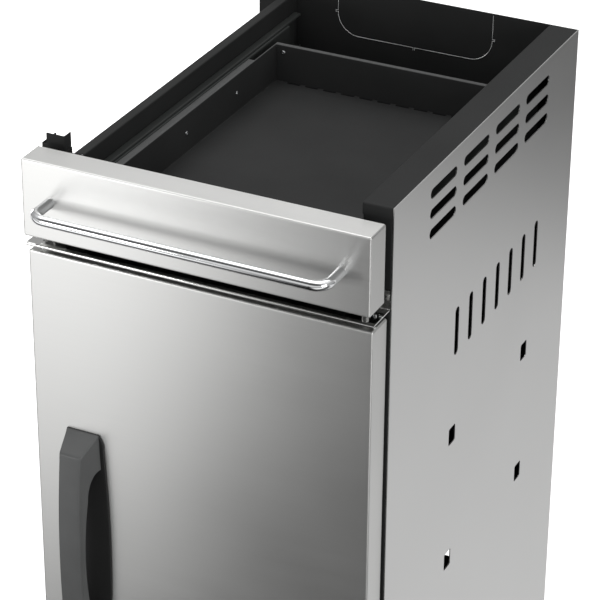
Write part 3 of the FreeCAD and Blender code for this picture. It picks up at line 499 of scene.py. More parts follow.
# Outlines that are turned, lowest step first: shares of the sizes in the radius, and in the height
RIVET_STEPS = (
    ({"Tail radius": 0.7}, {"Grip": -1.0, "Tail height": -1.0}),
    ({"Tail radius": 1.0}, {"Grip": -1.0, "Tail height": -0.7}),
    ({"Tail radius": 1.0}, {"Grip": -1.0}),
    ({"Shank radius": 1.0}, {"Grip": -1.0}),
    ({"Shank radius": 1.0}, {"Grip": 0.0}),
    ({"Head radius": 1.0}, {"Grip": 0.0}),
    ({"Head radius": 1.0}, {"Head height": 0.2}),
    ({"Head radius": 0.9}, {"Head height": 0.55}),
    ({"Head radius": 0.74}, {"Head height": 0.85}),
    ({"Head radius": 0.55}, {"Head height": 1.0}),
    ({"Head radius": 0.42}, {"Head height": 1.0}),
    ({"Head radius": 0.38}, {"Head height": 0.5}),
    ({"Head radius": 0.2}, {"Head height": 0.6}),
)
BOLT_HEAD_STEPS = (
    ({"Head radius": 0.86}, {"Head height": -1.0}),
    ({"Head radius": 1.0}, {"Head height": -0.86}),
    ({"Head radius": 1.0}, {"Head height": -0.18}),
)
NUT_STEPS = (
    ({"Head radius": 1.0}, {"Grip": 1.0, "Head height": 0.18}),
    ({"Head radius": 1.0}, {"Grip": 1.0, "Head height": 0.72}),
    ({"Head radius": 0.86}, {"Grip": 1.0, "Head height": 0.86}),
)
LOWER_WASHER_STEPS = (
    ({"Head radius": FLAT_SHARE}, {"Head height": -0.18}),
    ({"Head radius": 1.0}, {"Head height": -0.12}),
    ({"Head radius": 1.0}, {"Head height": 0.0}),
)
UPPER_WASHER_STEPS = (
    ({"Head radius": 1.0}, {"Grip": 1.0}),
    ({"Head radius": 1.0}, {"Grip": 1.0, "Head height": 0.12}),
    ({"Head radius": FLAT_SHARE}, {"Grip": 1.0, "Head height": 0.18}),
)
SHANK_STEPS = (
    ({"Bolt radius": 1.0}, {"Head height": -0.1}),
    ({"Bolt radius": 1.0}, {"Grip": 1.0, "Head height": 0.92}),
    ({"Bolt radius": 0.8}, {"Grip": 1.0, "Head height": 1.0}),
)


def islands(name):
    """The separate solids of a CAD node, each as a list of its corner points."""
    solid = bmesh.new()
    solid.from_mesh(NODES[name].data)
    bmesh.ops.remove_doubles(solid, verts=solid.verts, dist=WELD)
    seen = set()
    found = []
    for first in solid.verts:
        if first in seen:
            continue
        seen.add(first)
        waiting = [first]
        points = []
        while waiting:
            vert = waiting.pop()
            points.append(vert.co.copy())
            for edge in vert.link_edges:
                other = edge.other_vert(vert)
                if other not in seen:
                    seen.add(other)
                    waiting.append(other)
        found.append(points)
    solid.free()
    return found


def corners_of(points):
    """The lowest and highest corner of some points."""
    low = Vector([min(point[i] for point in points) for i in range(3)])
    high = Vector([max(point[i] for point in points) for i in range(3)])
    return low, high


def round_axis(low, high):
    """The axis of a round solid: the other two sides of its box are alike."""
    size = high - low
    return min(range(3), key=lambda i: abs(size[i - 1] - size[i - 2]))


def rivet_length(name):
    """The length of a node's rivets, which are all alike."""
    low, high = corners_of(islands(name)[0])
    axis = round_axis(low, high)
    return high[axis] - low[axis]


def rivet_seats(name, head_height):
    """Where each rivet's head sits on its sheet, and the way that the head looks."""
    seats = []
    for points in islands(name):
        low, high = corners_of(points)
        axis = round_axis(low, high)
        middle = (low + high) / 2
        reach = [math.hypot(point[axis - 1] - middle[axis - 1], point[axis - 2] - middle[axis - 2])
                 for point in points]
        rim = [point[axis] for point, radius in zip(points, reach) if radius > max(reach) * RIM_SHARE]
        outward = 1.0 if sum(rim) / len(rim) > middle[axis] else -1.0
        look = Vector((0.0, 0.0, 0.0))
        look[axis] = outward
        seat = middle.copy()
        seat[axis] = (high[axis] if outward > 0 else low[axis]) - outward * head_height
        seats.append((seat, look))
    return seats


def bolt_seats(name, head_height):
    """Where each bolt's head sits under its plate, the way that the bolt points, and the bolts' length."""
    boxes = [corners_of(points) for points in islands(name)]
    up = Vector((0.0, 0.0, 1.0))
    seats = [(Vector(((low.x + high.x) / 2, (low.y + high.y) / 2, low.z + head_height)), up)
             for low, high in boxes]
    low, high = boxes[0]
    return seats, high.z - low.z


def size_tree(name, sizes):
    """A Geometry Nodes tree whose inputs are the named sizes and a material."""
    group = bpy.data.node_groups.new(name, "GeometryNodeTree")
    group.interface.new_socket("Geometry", in_out="INPUT", socket_type="NodeSocketGeometry")
    group.interface.new_socket("Geometry", in_out="OUTPUT", socket_type="NodeSocketGeometry")
    for label in sizes:
        socket = group.interface.new_socket(label, in_out="INPUT", socket_type="NodeSocketFloat")
        socket.subtype = "DISTANCE"
    group.interface.new_socket("Sides", in_out="INPUT", socket_type="NodeSocketInt")
    group.interface.new_socket("Material", in_out="INPUT", socket_type="NodeSocketMaterial")
    return group, group.nodes.new("NodeGroupInput")


def sum_of(group, source, shares):
    """A length made of shares of the tree's sizes: {size name: share}."""
    total = None
    for label, share in shares.items():
        product = group.nodes.new("ShaderNodeMath")
        product.operation = "MULTIPLY_ADD"
        group.links.new(source.outputs[label], product.inputs[0])
        product.inputs[1].default_value = share
        product.inputs[2].default_value = 0.0
        if total is not None:
            group.links.new(total, product.inputs[2])
        total = product.outputs["Value"]
    return total


def compared(group, operation, first, second):
    """One length less another, or divided by it."""
    node = group.nodes.new("ShaderNodeMath")
    node.operation = operation
    group.links.new(first, node.inputs[0])
    group.links.new(second, node.inputs[1])
    return node.outputs["Value"]


def disc(group, source, radius, sides):
    """A flat disc, with the tree's number of sides where none is given."""
    circle = group.nodes.new("GeometryNodeMeshCircle")
    circle.fill_type = "NGON"
    if sides is None:
        group.links.new(source.outputs["Sides"], circle.inputs["Vertices"])
    else:
        circle.inputs["Vertices"].default_value = sides
    group.links.new(radius, circle.inputs["Radius"])
    return circle.outputs["Mesh"]


def lathe(group, source, steps, sides=None):
    """A closed turned shape along Z from steps of (radius shares, height shares), lowest first."""
    radii = [sum_of(group, source, radius) for radius, height in steps]
    heights = [sum_of(group, source, height) for radius, height in steps]
    shape = disc(group, source, radii[0], sides)
    flip = group.nodes.new("GeometryNodeFlipFaces")
    group.links.new(disc(group, source, radii[0], sides), flip.inputs["Mesh"])
    top = None
    for i in range(1, len(steps)):
        pull = group.nodes.new("GeometryNodeExtrudeMesh")
        pull.mode = "FACES"
        pull.inputs["Individual"].default_value = False
        pull.inputs["Offset"].default_value = (0.0, 0.0, 1.0)
        if top is not None:
            group.links.new(top, pull.inputs["Selection"])
        group.links.new(shape, pull.inputs["Mesh"])
        rise = compared(group, "SUBTRACT", heights[i], heights[i - 1])
        group.links.new(rise, pull.inputs["Offset Scale"])
        top = pull.outputs["Top"]
        widen = group.nodes.new("GeometryNodeScaleElements")
        group.links.new(pull.outputs["Mesh"], widen.inputs["Geometry"])
        group.links.new(top, widen.inputs["Selection"])
        group.links.new(compared(group, "DIVIDE", radii[i], radii[i - 1]), widen.inputs["Scale"])
        shape = widen.outputs["Geometry"]
    closed = group.nodes.new("GeometryNodeJoinGeometry")
    group.links.new(shape, closed.inputs["Geometry"])
    group.links.new(flip.outputs["Mesh"], closed.inputs["Geometry"])
    welded = group.nodes.new("GeometryNodeMergeByDistance")
    welded.inputs["Distance"].default_value = WELD
    group.links.new(closed.outputs["Geometry"], welded.inputs["Geometry"])
    lifted = group.nodes.new("GeometryNodeTransform")
    group.links.new(welded.outputs["Geometry"], lifted.inputs["Geometry"])
    offset = group.nodes.new("ShaderNodeCombineXYZ")
    group.links.new(heights[0], offset.inputs["Z"])
    group.links.new(offset.outputs["Vector"], lifted.inputs["Translation"])
    return lifted.outputs["Geometry"]


def scatter(group, source, shapes):
    """Puts the shapes on the points, turned to their look attribute, and ends the tree."""
    joined = group.nodes.new("GeometryNodeJoinGeometry")
    for shape in shapes:
        group.links.new(shape, joined.inputs["Geometry"])
    look = group.nodes.new("GeometryNodeInputNamedAttribute")
    look.data_type = "FLOAT_VECTOR"
    look.inputs["Name"].default_value = "look"
    turn = group.nodes.new("FunctionNodeAlignRotationToVector")
    turn.axis = "Z"
    group.links.new(look.outputs["Attribute"], turn.inputs["Vector"])
    spots = group.nodes.new("GeometryNodeInstanceOnPoints")
    group.links.new(source.outputs["Geometry"], spots.inputs["Points"])
    group.links.new(joined.outputs["Geometry"], spots.inputs["Instance"])
    group.links.new(turn.outputs["Rotation"], spots.inputs["Rotation"])
    real = group.nodes.new("GeometryNodeRealizeInstances")
    group.links.new(spots.outputs["Instances"], real.inputs["Geometry"])
    coat = group.nodes.new("GeometryNodeSetMaterial")
    group.links.new(real.outputs["Geometry"], coat.inputs["Geometry"])
    group.links.new(source.outputs["Material"], coat.inputs["Material"])
    end = group.nodes.new("NodeGroupOutput")
    group.links.new(coat.outputs["Geometry"], end.inputs["Geometry"])


def grow(name, seats, group, sizes, sides, material):
    """Runs a fastener tree on its seats and keeps the result as one plain mesh."""
    points = bpy.data.meshes.new(name + "_seats")
    points.from_pydata([seat for seat, look in seats], [], [])
    looks = points.attributes.new("look", "FLOAT_VECTOR", "POINT")
    for item, (seat, look) in zip(looks.data, seats):
        item.vector = look
    holder = add_object(name + "_points", points)
    modifier = holder.modifiers.new("Fasteners", "NODES")
    modifier.node_group = group
    settings = {**sizes, "Sides": sides, "Material": material}
    for item in group.interface.items_tree:
        if item.in_out == "INPUT" and item.name in settings:
            modifier[item.identifier] = settings[item.name]
    mesh = evaluated_mesh(holder)
    if not mesh.polygons:
        raise RuntimeError(name + " has no faces")
    holder.modifiers.remove(modifier)
    bpy.data.objects.remove(holder)
    bpy.data.meshes.remove(points)
    mesh.name = name
    return smooth_piece(name, mesh, FASTENER_EDGE)


# Right side

# Hook slots from front to back and from top to bottom, and the steps round one of their corners
SLOT_COLUMNS = 2
SLOT_ROWS = 2
SLOT_CORNER_STEPS = 6

# A face that looks along X by more than this share is one of the sheet's two flat sides
FLAT_LOOK = 0.9


def slot_ring(middle, side):
    """The (y, z) points round a hook slot with rounded corners."""
    across = side.slot_width / 2 - side.slot_corner
    upward = side.slot_length / 2 - side.slot_corner
    ring = []
    for quarter, (back, up) in enumerate(((1, 1), (-1, 1), (-1, -1), (1, -1))):
        for i in range(SLOT_CORNER_STEPS + 1):
            turn = math.radians(90.0 * (quarter + i / SLOT_CORNER_STEPS))
            ring.append((middle[0] + back * across + side.slot_corner * math.cos(turn),
                         middle[1] + up * upward + side.slot_corner * math.sin(turn)))
    return ring


def slotted_sheet(node, middles, side):
    """A copy of a flat upright sheet, with hook slots in place of the holes at these (y, z) middles."""
    low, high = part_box(node)
    solid = NODES[node].data
    sheet = plain_shape([vert.co for vert in solid.vertices], [face.vertices for face in solid.polygons])
    bmesh.ops.remove_doubles(sheet, verts=sheet.verts, dist=WELD)
    sheet.normal_update()
    old = [vert for vert in sheet.verts
           if any(math.hypot(vert.co.y - y, vert.co.z - z) < side.slot_length for y, z in middles)]
    bmesh.ops.delete(sheet, geom=old, context="VERTS")
    flat = [face for face in sheet.faces if abs(face.normal.x) > FLAT_LOOK]
    bmesh.ops.delete(sheet, geom=flat, context="FACES_ONLY")
    loose = [edge for edge in sheet.edges if not edge.link_faces]
    bmesh.ops.delete(sheet, geom=loose, context="EDGES")
    for middle in middles:
        ring = slot_ring(middle, side)
        inner, outer = [[sheet.verts.new((x, y, z)) for y, z in ring] for x in (low.x, high.x)]
        for i in range(len(ring)):
            sheet.faces.new((inner[i - 1], inner[i], outer[i], outer[i - 1]))
    for x in (low.x, high.x):
        rim = [edge for edge in sheet.edges
               if edge.is_boundary and all(abs(vert.co.x - x) < WELD for vert in edge.verts)]
        bmesh.ops.triangle_fill(sheet, edges=rim, use_beauty=True, normal=(1.0, 0.0, 0.0))
    return sheet


# Door grip

# Sections along each stretch from the middle to an end: hand, web, foot and sloped end
HAND_ROWS = 10
WEB_ROWS = 16
FOOT_ROWS = 6
SLOPE_ROWS = 28

# The sloped end's close sections begin this many of its lengths from the end, and stop just short of it
SLOPE_START = 1.5
END_GAP = 0.0001

# Length over which the bowed front turns into a sloped end
SLOPE_BLEND = 0.003

# Steps round an edge and along a side of a section
EDGE_STEPS = 4
SIDE_STEPS = 5

# The most that an edge may take of the section's depth, and a back edge of the back's reach
FRONT_EDGE_SHARE = 0.4
BACK_EDGE_SHARE = 0.3
BACK_REACH_SHARE = 0.2


def soft_least(first, second, blend):
    """The lesser of two lengths, with the corner between them rounded off."""
    share = min(1.0, max(0.0, 0.5 + 0.5 * (second - first) / blend))
    return second * (1 - share) + first * share - blend * share * (1 - share)


def grip_rows(grip, half):
    """Heights of the grip's sections above its middle, close together where it bends."""
    foot_z = half - grip.foot_length
    web_z = foot_z - grip.web_length
    slope_z = half - SLOPE_START * grip.end_drop
    rows = [web_z * i / HAND_ROWS for i in range(HAND_ROWS)]
    for i in range(WEB_ROWS + 1):
        rows.append(web_z + grip.web_length * math.sin(math.radians(90.0 * i / WEB_ROWS)))
    rows += [foot_z + (slope_z - foot_z) * i / FOOT_ROWS for i in range(1, FOOT_ROWS)]
    rows += [slope_z + (half - END_GAP - slope_z) * i / SLOPE_ROWS for i in range(SLOPE_ROWS + 1)]
    return [-z for z in reversed(rows[1:])] + rows


def grip_span(grip, half, z):
    """How far the grip's back and front stand out from the door at a height."""
    foot_z = half - grip.foot_length
    web_z = foot_z - grip.web_length
    slope_z = half - grip.end_drop
    height = abs(z)
    hand_back = grip.reach - grip.hand_depth
    if height >= foot_z:
        back = 0.0
    elif height > web_z:
        rise = (height - web_z) / grip.web_length
        back = (hand_back - grip.hand_bow) * math.sqrt(1 - rise * rise)
    else:
        back = hand_back - grip.hand_bow * (z / web_z) ** 2
    bow = grip.reach - (grip.reach - grip.end_reach) * (z / slope_z) ** 2
    slope = grip.end_reach * (half - height) / grip.end_drop
    return back, max(soft_least(bow, slope, SLOPE_BLEND), back)


def grip_section(grip, half, z):
    """The ring of (x, reach) points of the grip at a height, with rounded corners."""
    back, front = grip_span(grip, half, z)
    spread = min(1.0, (half - abs(z)) / grip.foot_length)
    feet = (-grip.foot_left, grip.foot_right + grip.foot_spread * spread)
    hands = (-grip.hand_half, grip.hand_half)

    def side(i, reach):
        return hands[i] + (feet[i] - hands[i]) * (1 - min(1.0, reach / grip.end_reach))

    def edge(i, tip, radius, inward, outward):
        run = []
        for j in range(EDGE_STEPS + 1):
            turn = math.radians(90.0 * j / EDGE_STEPS)
            reach = tip + outward * radius * (1 - math.sin(turn))
            run.append((side(i, reach) + inward * radius * (1 - math.cos(turn)), reach))
        return run

    deep = front - back
    front_edge = min(grip.front_edge, deep * FRONT_EDGE_SHARE)
    back_edge = min(grip.back_edge, deep * BACK_EDGE_SHARE, back * BACK_REACH_SHARE)
    runs = []
    for i, inward in ((0, 1), (1, -1)):
        run = edge(i, back, back_edge, inward, 1)
        run.reverse()
        for j in range(1, SIDE_STEPS):
            reach = back + back_edge + (deep - back_edge - front_edge) * j / SIDE_STEPS
            run.append((side(i, reach), reach))
        run += edge(i, front, front_edge, inward, -1)
        runs.append(run)
    left, right = runs
    return left + right[::-1]


def grip_shape(grip, low, high):
    """The grip between the corners of its box: sections joined in order, and closed at both ends."""
    middle = (low + high) / 2
    half = (high.z - low.z) / 2
    rows = grip_rows(grip, half)
    rings = [grip_section(grip, half, z) for z in rows]
    count = len(rings[0])
    points = [(middle.x + x, high.y - reach, middle.z + z)
              for z, ring in zip(rows, rings) for x, reach in ring]
    faces = [range(count), range(len(points) - count, len(points))]
    for start in range(0, len(points) - count, count):
        for i in range(count):
            after = (i + 1) % count
            faces.append((start + i, start + after, start + count + after, start + count + i))
    return plain_shape(points, faces)


# Rear panel and left wall

# Steps round a lower corner of the break-out, and round its bare edge
BREAKOUT_CORNER_STEPS = 12
BEVEL_STEPS = 1

# Corner numbers of a block whose points run through X, then Y, then Z
BLOCK_FACES = ((0, 1, 3, 2), (4, 5, 7, 6), (0, 1, 5, 4), (2, 3, 7, 6), (0, 2, 6, 4), (1, 3, 7, 5))


def breakout_runs(rear, top):
    """The cuts on one side of the break-out's middle, as runs of (x, z) points."""
    half = rear.breakout_width / 2
    radius = rear.breakout_radius
    bottom = top - rear.breakout_drop
    side_tab = bottom + radius
    side_top = side_tab + rear.breakout_tab
    tab_half = rear.breakout_tab / 2
    beyond = half + rear.breakout_relief
    lower = [(beyond, side_tab)]
    for i in range(BREAKOUT_CORNER_STEPS + 1):
        turn = math.radians(90.0 * i / BREAKOUT_CORNER_STEPS)
        lower.append((half - radius * (1 - math.cos(turn)), side_tab - radius * math.sin(turn)))
    lower += [(tab_half, bottom), (tab_half, bottom - rear.breakout_relief)]
    upper = [(beyond, side_top), (half, side_top), (half, top - rear.breakout_tab)]
    return lower, upper


def breakout_mesh(rear, front, top):
    """A thin round edge along the cuts on both sides, on the front of a panel with this top."""
    lines = bpy.data.curves.new("breakout_lines", "CURVE")
    lines.dimensions = "3D"
    lines.bevel_depth = rear.edge_radius
    lines.bevel_resolution = BEVEL_STEPS
    lines.use_fill_caps = True
    for run in breakout_runs(rear, top):
        for mirror in (1, -1):
            spline = lines.splines.new("POLY")
            spline.points.add(len(run) - 1)
            for point, (x, z) in zip(spline.points, run):
                point.co = (mirror * x, front, z, 1.0)
    holder = add_object("breakout_lines", lines)
    mesh = evaluated_mesh(holder)
    bpy.data.objects.remove(holder)
    bpy.data.curves.remove(lines)
    return mesh


# Pieces and their finishes
class CART_OT_fronts(bpy.types.Operator):
    """Brushed stainless on the skins of the door and the drawer front"""
    bl_idname = "cart.fronts"
    bl_label = "Stainless fronts"

    def execute(self, context):
        finish = context.scene.cart_finishes
        steel = brushed_steel("brushed_front_steel", finish.front_steel, finish.front_roughness,
                              across=2600.0, along=5.0, tone=0.012, brushing=0.78)
        dress(steel, "door_skin", "drawer_front")
        return {"FINISHED"}


class CART_OT_side_skin(bpy.types.Operator):
    """Right side of satin stainless with its vents and hook slots"""
    bl_idname = "cart.side_skin"
    bl_label = "Right side skin"

    def execute(self, context):
        finish = context.scene.cart_finishes
        side = context.scene.cart_side
        steel = brushed_steel("satin_side_steel", finish.side_steel, finish.side_roughness,
                              across=2400.0, along=6.0, tone=0.012, brushing=0.0)
        low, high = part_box("right_side_skin")
        middles = [(low.y + side.slot_front + column * side.slot_pitch_back,
                    high.z - side.slot_drop - row * side.slot_pitch_down)
                   for column in range(SLOT_COLUMNS) for row in range(SLOT_ROWS)]
        piece = shape_piece("right_side_sheet", slotted_sheet("right_side_skin", middles, side), steel)
        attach(piece, "cabinet")
        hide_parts("right_side_skin")
        return {"FINISHED"}


class CART_OT_rails(bpy.types.Operator):
    """Polished stainless on the rails above and below the door, and on the hinge pins"""
    bl_idname = "cart.rails"
    bl_label = "Rails and hinge pins"

    def execute(self, context):
        finish = context.scene.cart_finishes
        steel = brushed_steel("polished_rail_steel", finish.rail_steel, finish.rail_roughness,
                              across=1500.0, along=8.0, tone=0.015, brushing=0.0)
        dress(steel, "front_rail", "lower_rail", "hinge_pin_upper", "hinge_pin_lower")
        return {"FINISHED"}


class CART_OT_carcass(bpy.types.Operator):
    """Dark powder coat on the carcass sheets and on the liners of the fronts"""
    bl_idname = "cart.carcass"
    bl_label = "Painted carcass"

    def execute(self, context):
        finish = context.scene.cart_finishes
        paint = powder_coat("carcass_powder_coat", finish.paint, roughness=0.5, peel=1300.0)
        dress(paint, "right_top_rail", "right_front_post", "right_rear_post", "left_side_wall",
              "left_front_post", "rear_panel", "base_pan", "door_liner", "drawer_front_liner")
        return {"FINISHED"}


class CART_OT_breakout(bpy.types.Operator):
    """Bare metal along the cut round the rear panel's break-out"""
    bl_idname = "cart.breakout"
    bl_label = "Break-out edge"

    def execute(self, context):
        finish = context.scene.cart_finishes
        rear = context.scene.cart_rear
        low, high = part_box("rear_panel")
        mesh = breakout_mesh(rear, low.y, high.z)
        mesh.name = "breakout_edge"
        mesh.materials.clear()
        mesh.materials.append(plated_steel("bare_edge", finish.bare_steel, roughness=0.72, tone=0.05,
                                           scratching=0.15))
        piece = add_object("breakout_edge", mesh)
        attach(piece, "cabinet")
        return {"FINISHED"}


class CART_OT_wall_tongue(bpy.types.Operator):
    """Tongue that closes the relief at the front end of the left wall's top flange"""
    bl_idname = "cart.wall_tongue"
    bl_label = "Wall tongue"

    def execute(self, context):
        rear = context.scene.cart_rear
        low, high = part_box("left_side_wall")
        left_side = CAD_BOX[0][0]
        wall = left_side + rear.wall_set_in
        across = (wall - rear.wall_flange, wall - rear.corner_relief + rear.corner_slit)
        along = (low.y + rear.sheet + rear.corner_slit, low.y + rear.corner_relief)
        upward = (high.z - rear.sheet, high.z)
        points = [(x, y, z) for x in across for y in along for z in upward]
        paint = NODES["left_side_wall"].material_slots[0].material
        piece = shape_piece("left_wall_tongue", plain_shape(points, BLOCK_FACES), paint)
        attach(piece, "cabinet")
        return {"FINISHED"}


class CART_OT_tray(bpy.types.Operator):
    """Dark powder coat on the drawer tray, with a painted highlight along its rim"""
    bl_idname = "cart.tray"
    bl_label = "Drawer tray"

    def execute(self, context):
        finish = context.scene.cart_finishes
        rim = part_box("drawer_tray")[1].z
        # The rim's top band is painted pale as a highlight
        paint = powder_coat("tray_powder_coat", finish.tray_paint, roughness=0.55, peel=1500.0,
                            painted_highlight_height=rim - 2 * PAINTED_HIGHLIGHT_EDGE)
        dress(paint, "drawer_tray")
        return {"FINISHED"}


class CART_OT_runners(bpy.types.Operator):
    """Dark coated steel on the telescopic runners"""
    bl_idname = "cart.runners"
    bl_label = "Telescopic runners"

    def execute(self, context):
        finish = context.scene.cart_finishes
        coat = powder_coat("runner_coat", finish.runner_coat, roughness=0.36, peel=700.0)
        for stem in ("slide_outer", "slide_middle", "slide_inner"):
            dress(coat, stem + "_left", stem + "_right")
        return {"FINISHED"}


class CART_OT_bar_handle(bpy.types.Operator):
    """Chrome plate on the drawer's bar handle"""
    bl_idname = "cart.bar_handle"
    bl_label = "Bar handle"

    def execute(self, context):
        finish = context.scene.cart_finishes
        chrome = plated_steel("bar_chrome", finish.bar_chrome, roughness=0.08, tone=0.02, scratching=0.02)
        dress(chrome, "bar_handle")
        return {"FINISHED"}


class CART_OT_door_handle(bpy.types.Operator):
    """Moulded grip of the door handle, and plastic on the plate behind it"""
    bl_idname = "cart.door_handle"
    bl_label = "Door handle"

    def execute(self, context):
        finish = context.scene.cart_finishes
        grip = context.scene.cart_grip
        low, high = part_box("door_handle")
        plastic = moulded_plastic("grip_plastic", finish.grip_plastic, roughness=0.45, texture=1600.0,
                                  depth=0.00005)
        piece = shape_piece("door_grip", grip_shape(grip, low, high), plastic)
        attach(piece, "door")
        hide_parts("door_handle")
        plate = moulded_plastic("plate_plastic", finish.plate_plastic, roughness=0.5, texture=1300.0,
                                depth=0.00005)
        dress(plate, "door_handle_plate")
        return {"FINISHED"}


class CART_OT_hinge_and_catch(bpy.types.Operator):
    """Nylon hinge bushes and the black magnet catch"""
    bl_idname = "cart.hinge_and_catch"
    bl_label = "Hinge bushes and magnet catch"

    def execute(self, context):
        finish = context.scene.cart_finishes
        nylon = moulded_plastic("bush_nylon", finish.nylon, roughness=0.4, texture=900.0, depth=0.00003)
        dress(nylon, "hinge_bush_upper", "hinge_bush_lower")
        black = moulded_plastic("magnet_plastic", finish.plate_plastic, roughness=0.4, texture=900.0,
                                depth=0.00003)
        dress(black, "door_magnet")
        return {"FINISHED"}


class CART_OT_screws(bpy.types.Operator):
    """Zinc plate on the handle screws"""
    bl_idname = "cart.screws"
    bl_label = "Handle screws"

    def execute(self, context):
        finish = context.scene.cart_finishes
        zinc = plated_steel("screw_zinc", finish.zinc, roughness=0.3, tone=0.06, scratching=0.15)
        dress(zinc, "bar_handle_screws", "door_handle_screws")
        return {"FINISHED"}


class CART_OT_rivets(bpy.types.Operator):
    """Blind rivets with a domed head and a sunk mandrel, on the carcass and on the drawer"""
    bl_idname = "cart.rivets"
    bl_label = "Rivets"

    def execute(self, context):
        finish = context.scene.cart_finishes
        fastener = context.scene.cart_fasteners
        sizes = {
            "Head radius": fastener.rivet_head_radius,
            "Head height": fastener.rivet_head_height,
            "Shank radius": fastener.rivet_shank_radius,
            "Tail radius": fastener.rivet_tail_radius,
            "Tail height": fastener.rivet_tail_height,
            "Grip": 0.0,
        }
        group, source = size_tree("Blind rivets", sizes)
        scatter(group, source, [lathe(group, source, RIVET_STEPS)])
        zinc = plated_steel("rivet_zinc", finish.zinc, roughness=0.3, tone=0.05, scratching=0.15)
        for name, body, node in (("carcass_blind_rivets", "cabinet", "carcass_rivets"),
                                 ("drawer_blind_rivets", "drawer", "drawer_rivets")):
            sizes["Grip"] = rivet_length(node) - fastener.rivet_head_height - fastener.rivet_tail_height
            seats = rivet_seats(node, fastener.rivet_head_height)
            piece = grow(name, seats, group, sizes, fastener.round_sides, zinc)
            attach(piece, body)
            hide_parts(node)
        return {"FINISHED"}


class CART_OT_caster_bolts(bpy.types.Operator):
    """Hexagon bolts up through the caster plates, with washers and nuts"""
    bl_idname = "cart.caster_bolts"
    bl_label = "Caster bolts"

    def execute(self, context):
        finish = context.scene.cart_finishes
        fastener = context.scene.cart_fasteners
        seats, length = bolt_seats("caster_bolts", fastener.bolt_head_height)
        sizes = {
            "Bolt radius": fastener.bolt_radius,
            "Head radius": fastener.bolt_head_radius,
            "Head height": fastener.bolt_head_height,
            "Grip": length - 2 * fastener.bolt_head_height,
        }
        group, source = size_tree("Caster bolts", sizes)
        shapes = [lathe(group, source, steps, HEXAGON) for steps in (BOLT_HEAD_STEPS, NUT_STEPS)]
        shapes += [lathe(group, source, steps)
                   for steps in (LOWER_WASHER_STEPS, UPPER_WASHER_STEPS, SHANK_STEPS)]
        scatter(group, source, shapes)
        zinc = plated_steel("bolt_zinc", finish.zinc, roughness=0.32, tone=0.06, scratching=0.15)
        piece = grow("caster_hexagon_bolts", seats, group, sizes, fastener.round_sides, zinc)
        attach(piece, "cabinet")
        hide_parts("caster_bolts")
        return {"FINISHED"}


class CART_OT_casters(bpy.types.Operator):
    """Rubber tyres, plastic hubs, zinc on the forks, axles and plates, and coated pedals"""
    bl_idname = "cart.casters"
    bl_label = "Casters"

    def execute(self, context):
        finish = context.scene.cart_finishes
        rubber = moulded_plastic("tyre_rubber", finish.tyre_rubber, roughness=0.62, texture=700.0,
                                 depth=0.00008)
        dress(rubber, *per_caster("caster_tyre"))
        plastic = moulded_plastic("hub_plastic", finish.hub_plastic, roughness=0.42, texture=1100.0,
                                  depth=0.00004)
        dress(plastic, *per_caster("caster_hub"))
        zinc = plated_steel("caster_zinc", finish.zinc, roughness=0.34, tone=0.08, scratching=0.15)
        dress(zinc, *per_caster("caster_fork", "caster_axle", "caster_plate"))
        coat = powder_coat("pedal_coat", finish.paint, roughness=0.4, peel=900.0)
        dress(coat, "brake_pedal_front_left", "brake_pedal_front_right")
        return {"FINISHED"}


# Stage

# Grey levels that metal mirrors: (place in metres, level) on the floor, (upward share, level) in the sky
SIDEWAYS_LEVELS = ((-0.45, 1.0), (-0.26, 1.0), (-0.16, 0.62), (-0.06, 0.11), (0.03, 0.01), (0.2, 0.01),
                   (0.5, 0.12), (0.9, 0.8))
AHEAD_LEVELS = ((-2.4, 0.35), (-1.8, 0.66), (-1.5, 0.97), (-1.35, 1.0), (-1.1, 0.97), (-0.8, 0.1))
BEHIND_LEVELS = ((0.4, 0.51), (1.3, 0.44), (1.65, 0.23), (2.0, 0.09))
SKYLINE_LEVELS = ((0.0, 0.75), (0.36, 0.75), (0.42, 0.08), (0.9, 0.08), (0.96, 1.0))
REAR_SKY_LEVELS = ((0.0, 0.4), (0.5, 0.46), (0.8, 1.0))

# Where the levels ahead give way to those behind, on the floor and in the sky
FLOOR_TURN = ((-0.3, 0.0), (0.2, 1.0))
SKY_TURN = ((-0.6, 0.0), (-0.2, 1.0))

# Slant of the sideways levels, and the strength of all that the floor shows to metal
SIDEWAYS_SLANT = -0.3
MIRRORED_STRENGTH = 1.6

# Grey of the floor, and its glow to the camera
FLOOR_GREY = 0.7
FLOOR_GLOW = 0.75

# Soft boxes: name, place, the point that it looks at, width, height, and the property with its power
SOFT_BOXES = (
    ("top_soft_box", (-0.4, 0.1, 2.6), (-0.4, 0.1, 0.5), 2.2, 1.7, "top_power"),
    ("front_soft_box", (-1.02, -1.9, 0.9), (0.0, -0.27, 0.8), 0.4, 0.4, "front_power"),
    ("right_soft_box", (2.4, -1.4, 1.3), (0.1, -0.2, 0.5), 1.2, 1.2, "right_power"),
    ("rear_soft_box", (-1.9, 1.7, 0.45), (-0.1, 0.1, 0.45), 1.2, 0.7, "rear_power"),
)

# Width of the camera's sensor in millimetres
SENSOR_WIDTH = 36.0


def mirrored_floor(tree):
    """The graded levels that the floor shows to metal."""
    place = split_place(tree, "Object")
    slant = tree.nodes.new("ShaderNodeMath")
    slant.operation = "MULTIPLY_ADD"
    slant.inputs[1].default_value = SIDEWAYS_SLANT
    tree.links.new(place["Y"], slant.inputs[0])
    tree.links.new(place["X"], slant.inputs[2])
    across = profile(tree, slant.outputs["Value"], SIDEWAYS_LEVELS)
    ahead = profile(tree, place["Y"], AHEAD_LEVELS)
    front = mixed(tree, "MULTIPLY", None, across, ahead)
    behind = profile(tree, place["Y"], BEHIND_LEVELS)
    turn = profile(tree, place["Y"], FLOOR_TURN)
    return mixed(tree, "MIX", turn, front, behind)


